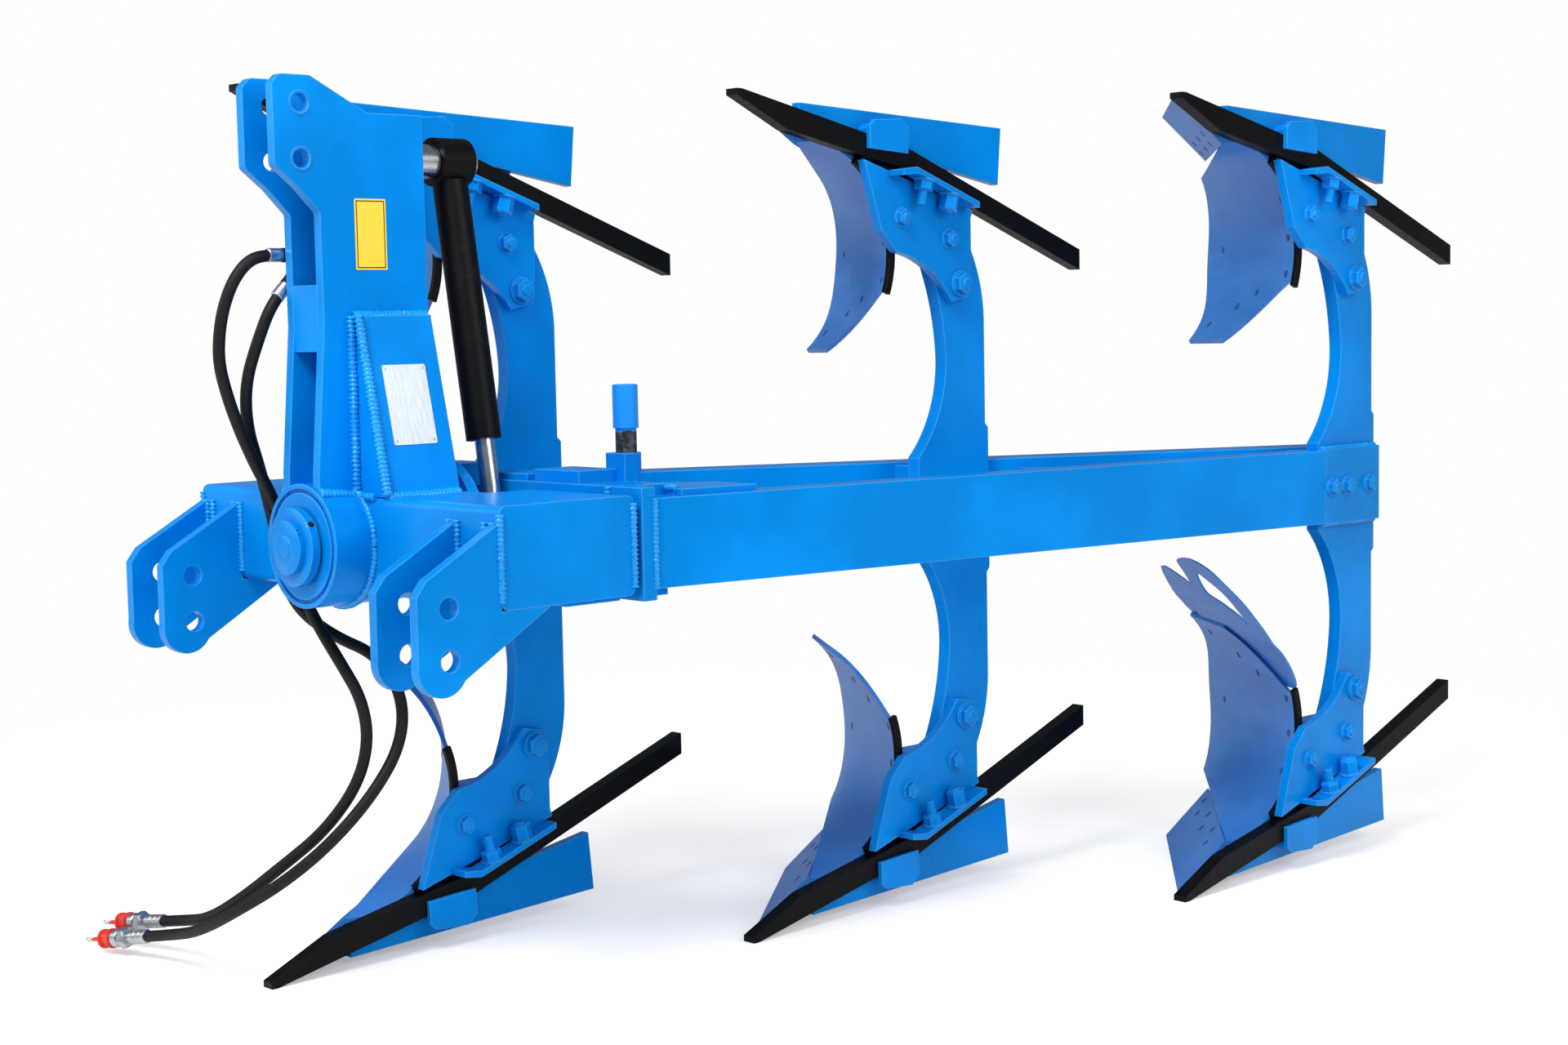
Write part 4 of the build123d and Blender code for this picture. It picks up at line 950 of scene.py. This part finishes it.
def curved_plate(name, outline, holes, station, behind, thickness, material):
    """A flat outline in X and height, laid on the mouldboard's curve and given a thickness."""
    loops = [[Vector((x, z, 0)) for x, z in line] for line in [outline] + holes]
    triangles = tessellate_polygon(loops)
    sx, sy = station
    front = [at(sx + p.x, sy + board_depth(p.x, p.y) + behind, GROUND + p.y)
             for line in loops for p in line]
    rear = [p + BACKWARD * (thickness / 1000) for p in front]
    count = len(front)
    faces = [tuple(t) for t in triangles]
    faces += [tuple(i + count for i in reversed(t)) for t in triangles]
    base = 0
    for line in loops:
        faces += walls(base, len(line), count)
        base += len(line)
    thing = mesh_object(name, front + rear, faces, material)
    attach(thing, "turning_frame")


def smooth_line(points, steps=6):
    """A closed line through points, rounded by Catmull-Rom pieces."""
    rounded = []
    count = len(points)
    for i in range(count):
        p0, p1, p2, p3 = (Vector(points[(i + k - 1) % count]) for k in range(4))
        for step in range(steps):
            t = step / steps
            q = 0.5 * (2 * p1 + (p2 - p0) * t + (2 * p0 - 5 * p1 + 4 * p2 - p3) * t ** 2
                       + (3 * p1 - p0 - 3 * p2 + p3) * t ** 3)
            rounded.append((q.x, q.y))
    return rounded


HOOP = [(-218, 668), (-142, 681), (-70, 667), (-28, 634), (6, 595), (19, 557), (24, 520),
        (16, 460), (4, 392), (-95, 400), (-215, 455), (-322, 460), (-326, 500), (-284, 560),
        (-239, 592), (-224, 631)]
HOOP_SLOT = [(-150, 645), (-102, 629), (-64, 603), (-46, 564), (-41, 538), (-68, 557),
             (-121, 579), (-172, 598)]
FLAG = [(-369, 634), (-300, 624), (-240, 592), (-270, 540), (-300, 470), (-350, 455),
        (-388, 482), (-384, 530), (-402, 567)]
curved_plate("mouldboard_extension_hoop", smooth_line(HOOP), [smooth_line(HOOP_SLOT)],
             STATIONS[-1], HOOP_BEHIND, HOOP_THICK, soil_face)
curved_plate("mouldboard_extension_flag", smooth_line(FLAG, 3), [],
             STATIONS[-1], FLAG_BEHIND, FLAG_THICK, soil_face)

# %% [markdown]
# ## Weld beads with Geometry Nodes
# A weld is a string of small overlapping ripples laid along a seam. The tree takes seams as poly
# curves, sweeps a round section along them, and pushes the surface in and out with a wave along
# the seam plus noise, so no two lengths are the same. Sprayed paint covers the result. Each
# seam is a list of drawing points, along the line where two pieces meet.

# %% Weld tree
BEAD_STEP = 0.0026  # between the rings of points along a seam
LUMPS = 2.6  # how far the noise pushes, against the wave


def weld_tree():
    tree = Tree("weld_bead", Radius=0.005, Ripple=0.0011, Pitch=0.008)
    seams, radius, ripple, pitch = list(tree.given.values())[:4]
    line = tree.node("GeometryNodeMeshToCurve", {}, Mesh=seams)
    even = tree.node("GeometryNodeResampleCurve", {"mode": "LENGTH"}, Curve=line,
                     Length=BEAD_STEP)
    keep = tree.node("GeometryNodeCaptureAttribute", {}).socket.node
    keep.capture_items.new("FLOAT", "Length")
    tree.put(keep.inputs["Geometry"], even)
    tree.put(keep.inputs[1], tree.node("GeometryNodeSplineParameter", {}, output="Length"))
    line, along = (Signal(tree, keep.outputs[key]) for key in ("Geometry", 1))
    section = tree.node("GeometryNodeCurvePrimitiveCircle", {}, Resolution=8, Radius=radius)
    sweep = tree.node("GeometryNodeCurveToMesh", {}, Curve=line, Profile_Curve=section,
                      Fill_Caps=True)
    wave = along * (2 * math.pi) / pitch
    lumps = (tree.node("ShaderNodeTexNoise", {}, Scale=130.0, Detail=2.0) - 0.5) * LUMPS
    push = (wave.math("SINE", wave) + lumps) * ripple
    outward = tree.node("GeometryNodeInputNormal", {})
    offset = tree.node("ShaderNodeVectorMath", {"operation": "SCALE"}, outward, Scale=push)
    shift = tree.node("GeometryNodeSetPosition", {}, Geometry=sweep, Offset=offset)
    return tree.close(tree.node("GeometryNodeSetShadeSmooth", {}, Geometry=shift))


WELD = weld_tree()


def welds(name, body, seams, radius):
    """Beads along seams, each a list of drawing points, on one body."""
    vertices, edges = [], []
    for seam in seams:
        base = len(vertices)
        vertices += [at(*point) for point in seam]
        edges += [(base + i, base + i + 1) for i in range(len(seam) - 1)]
    points = bpy.data.meshes.new(name + "_seams")
    points.from_pydata(vertices, edges, [])
    sizes = {"Radius": radius / 1000, "Ripple": radius / 3600}
    thing = run_tree(name, points, WELD, sizes, weld_blue)
    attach(thing, body)
    print(name, len(seams), "seams,", len(thing.data.polygons), "faces")


def hub_seam(y, radius, steps=48):
    """A seam right round the turnover axis at one Y."""
    angles = [math.radians(360 * i / steps) for i in range(steps + 1)]
    return [(radius * math.cos(a), y, radius * math.sin(a)) for a in angles]


def upright(x, y, low, high):
    return [(x, y, low), (x, y, high)]


# %% Headstock welds
MAST_WELD, EAR_WELD = 9.0, 7.0
mast_seams = [[(59, 141, 100), (59, 141, 408)], [(61, 144, 408), (61, 300, 408)],
              [(151, 146, 88), (151, 298, 88)], [(59, 64, 96), (59, 140, 88)],
              [(59, 300, 100), (59, 300, 408)], [(75, 145, 408), (151, 145, 90)]]
mast_seams += [[(-x, y, z) for x, y, z in seam] for seam in mast_seams]
box_seams = [hub_seam(139, 113), [(64, 140, 88), (118, 140, 88)]]
for side in (1, -1):
    for ear_face in (363.5, 463.5):
        for x in (ear_face, ear_face - 22):
            box_seams.append(upright(side * x, 139, 60, -74))
box_seams += [upright(side * 481, y, 74, -74) for side in (1, -1) for y in (141, 429)]
welds("headstock_welds", "headstock", mast_seams, MAST_WELD)
welds("box_welds", "headstock", box_seams, EAR_WELD)

# %% Frame welds
FRAME_WELD = 6.5
frame_seams = []
for x, y in STATIONS:
    for z in (75, -75):
        frame_seams.append([(x - 15, y - 58, z), (x - 15, y + 90, z)])
    frame_seams.append(upright(x - 15, y - 60, -73, 73))
frame_seams += [
    upright(398, 442, -98, 98),
    upright(488, 473, -80, 80),
    upright(708, 2184, -80, 80),
    [(712, 2184, 82), (712, 2391, 82)],
    [(712, 2184, -82), (712, 2391, -82)],
    upright(272, 541, 100, -96),
    upright(328, 541, 100, -96),
    [(330, 541, 93), (470, 541, 93)],
    [(174, 541, 101), (302, 541, 101)],
    [(30, 541, 101), (150, 541, 101)],
]
welds("frame_welds", "turning_frame", frame_seams, FRAME_WELD)

# %% [markdown]
# ## Plates and labels
# A yellow label and a riveted white plate are fixed to the mast. Both are left blank, because a
# reusable part names no maker. Each is a thin plate with rounded corners, and the label has a
# printed border, which is drawn by its distance from the nearest edge.

# %% Blank plates
def plate(name, corners, thickness, material, body, round_by):
    """A thin plate over four drawing points, listed round its outline, raised outwards."""
    spots = [at(*corner) for corner in corners]
    out = (spots[1] - spots[0]).cross(spots[3] - spots[0]).normalized() * thickness
    outline = []
    for index, spot in enumerate(spots):
        back = (spots[index - 1] - spot).normalized()
        fore = (spots[(index + 1) % len(spots)] - spot).normalized()
        outline += [spot + back * round_by * (1 - t) ** 2 + fore * round_by * t ** 2
                    for t in (0, 0.25, 0.5, 0.75, 1)]
    size = len(outline)
    faces = [tuple(reversed(range(size))), tuple(range(size, 2 * size)), *walls(0, size, size)]
    thing = mesh_object(name, outline + [p + out for p in outline], faces, material)
    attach(thing, body)


def printed(name, ground, border, low, high, margin, line):
    """A flat print with a border line, in the plane of Y and Z between two points."""
    ink = Finish(name, ground, 0.38, specular=0.4)
    y = ink.node("ShaderNodeSeparateXYZ", {}, ink.place, output=1)
    z = ink.node("ShaderNodeSeparateXYZ", {}, ink.place, output=2)
    along, up = (y - low.y).least(high.y - y), (z - low.z).least(high.z - z)
    inside = along.least(up) - margin
    band = (1.0 - inside * 3000.0).clamp() * ((inside + line) * 3000.0).clamp()
    fade = ink.noise(40.0, 3.0, 0.6)
    tone = ink.mix(fade * 0.25, ground, tuple(c * 0.8 for c in ground))
    return ink.wear(ink.mix(band, tone, border), 0.3 + fade * 0.15)


LABEL_FACE, LABEL_CLEAR = 59, 0.05  # the mast's face, and how far off it the label starts
(front_y, back_y), (low_z, high_z) = (155, 221), (490, 616)
yellow = printed("yellow_label_film", srgb(245, 208, 60), srgb(60, 52, 24),
                 at(LABEL_FACE, front_y, low_z), at(LABEL_FACE, back_y, high_z),
                 margin=0.005, line=0.0022)
label_corners = [(LABEL_FACE + LABEL_CLEAR, y, z) for y, z in
                 ((front_y, low_z), (back_y, low_z), (back_y, high_z), (front_y, high_z))]
plate("blank_yellow_label", label_corners, 0.0006, yellow, "headstock", 0.003)

# %% Blank nameplate
silver = Finish("brushed_white_plate", srgb(226, 228, 232), 0.35, metallic=0.35)
brushed = silver.noise(30.0, 3.0, 0.6, stretch=(1.0, 12.0, 1.0))
silver.wear(silver.mix(brushed.step(0.3, 0.7), srgb(204, 212, 216), srgb(228, 234, 238)),
            0.28 + brushed * 0.2)
GUSSET_FOOT, BOX_TOP = 151, 88
GUSSET_IN, GUSSET_UP = 76, 320  # the gusset leans in this far while it rises that far
GUSSET_CLEAR = 0.3


def on_gusset(y, height):
    """A point on the mast gusset's sloping face, by Y and height above the box."""
    return (GUSSET_FOOT - height * GUSSET_IN / GUSSET_UP + GUSSET_CLEAR, y, BOX_TOP + height)


nameplate_corners = [on_gusset(*place) for place in ((176, 90), (268, 90), (268, 232), (176, 232))]
plate("blank_nameplate", nameplate_corners, 0.0009, silver.material, "headstock", 0.004)
rivets = [(on_gusset(y, h), (GUSSET_UP, 0, GUSSET_IN)) for y in (182, 262) for h in (97, 225)]
fasteners("nameplate_rivets", "headstock", zinc, rivets,
          corner=0.0024, height=0.0005, washer=0.0008, stud=0.0004, stud_radius=0.0018)

# %% [markdown]
# ## Where every piece belongs
# The hoses and all that is on them stay with the headstock, and stand in for the plain tubes of
# the CAD model, which are hidden.

# %% Riding, and the CAD tubes hidden
for name, hose in hoses.items():
    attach(hose, "headstock")
    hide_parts(name)
for pieces in fittings.values():
    for thing, node, slot_name in zip(pieces, ("hose_ferrules", "hose_couplers", "hose_caps"),
                                      ("zinc", "zinc", "red_plastic")):
        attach(thing, "headstock")
        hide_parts(node)
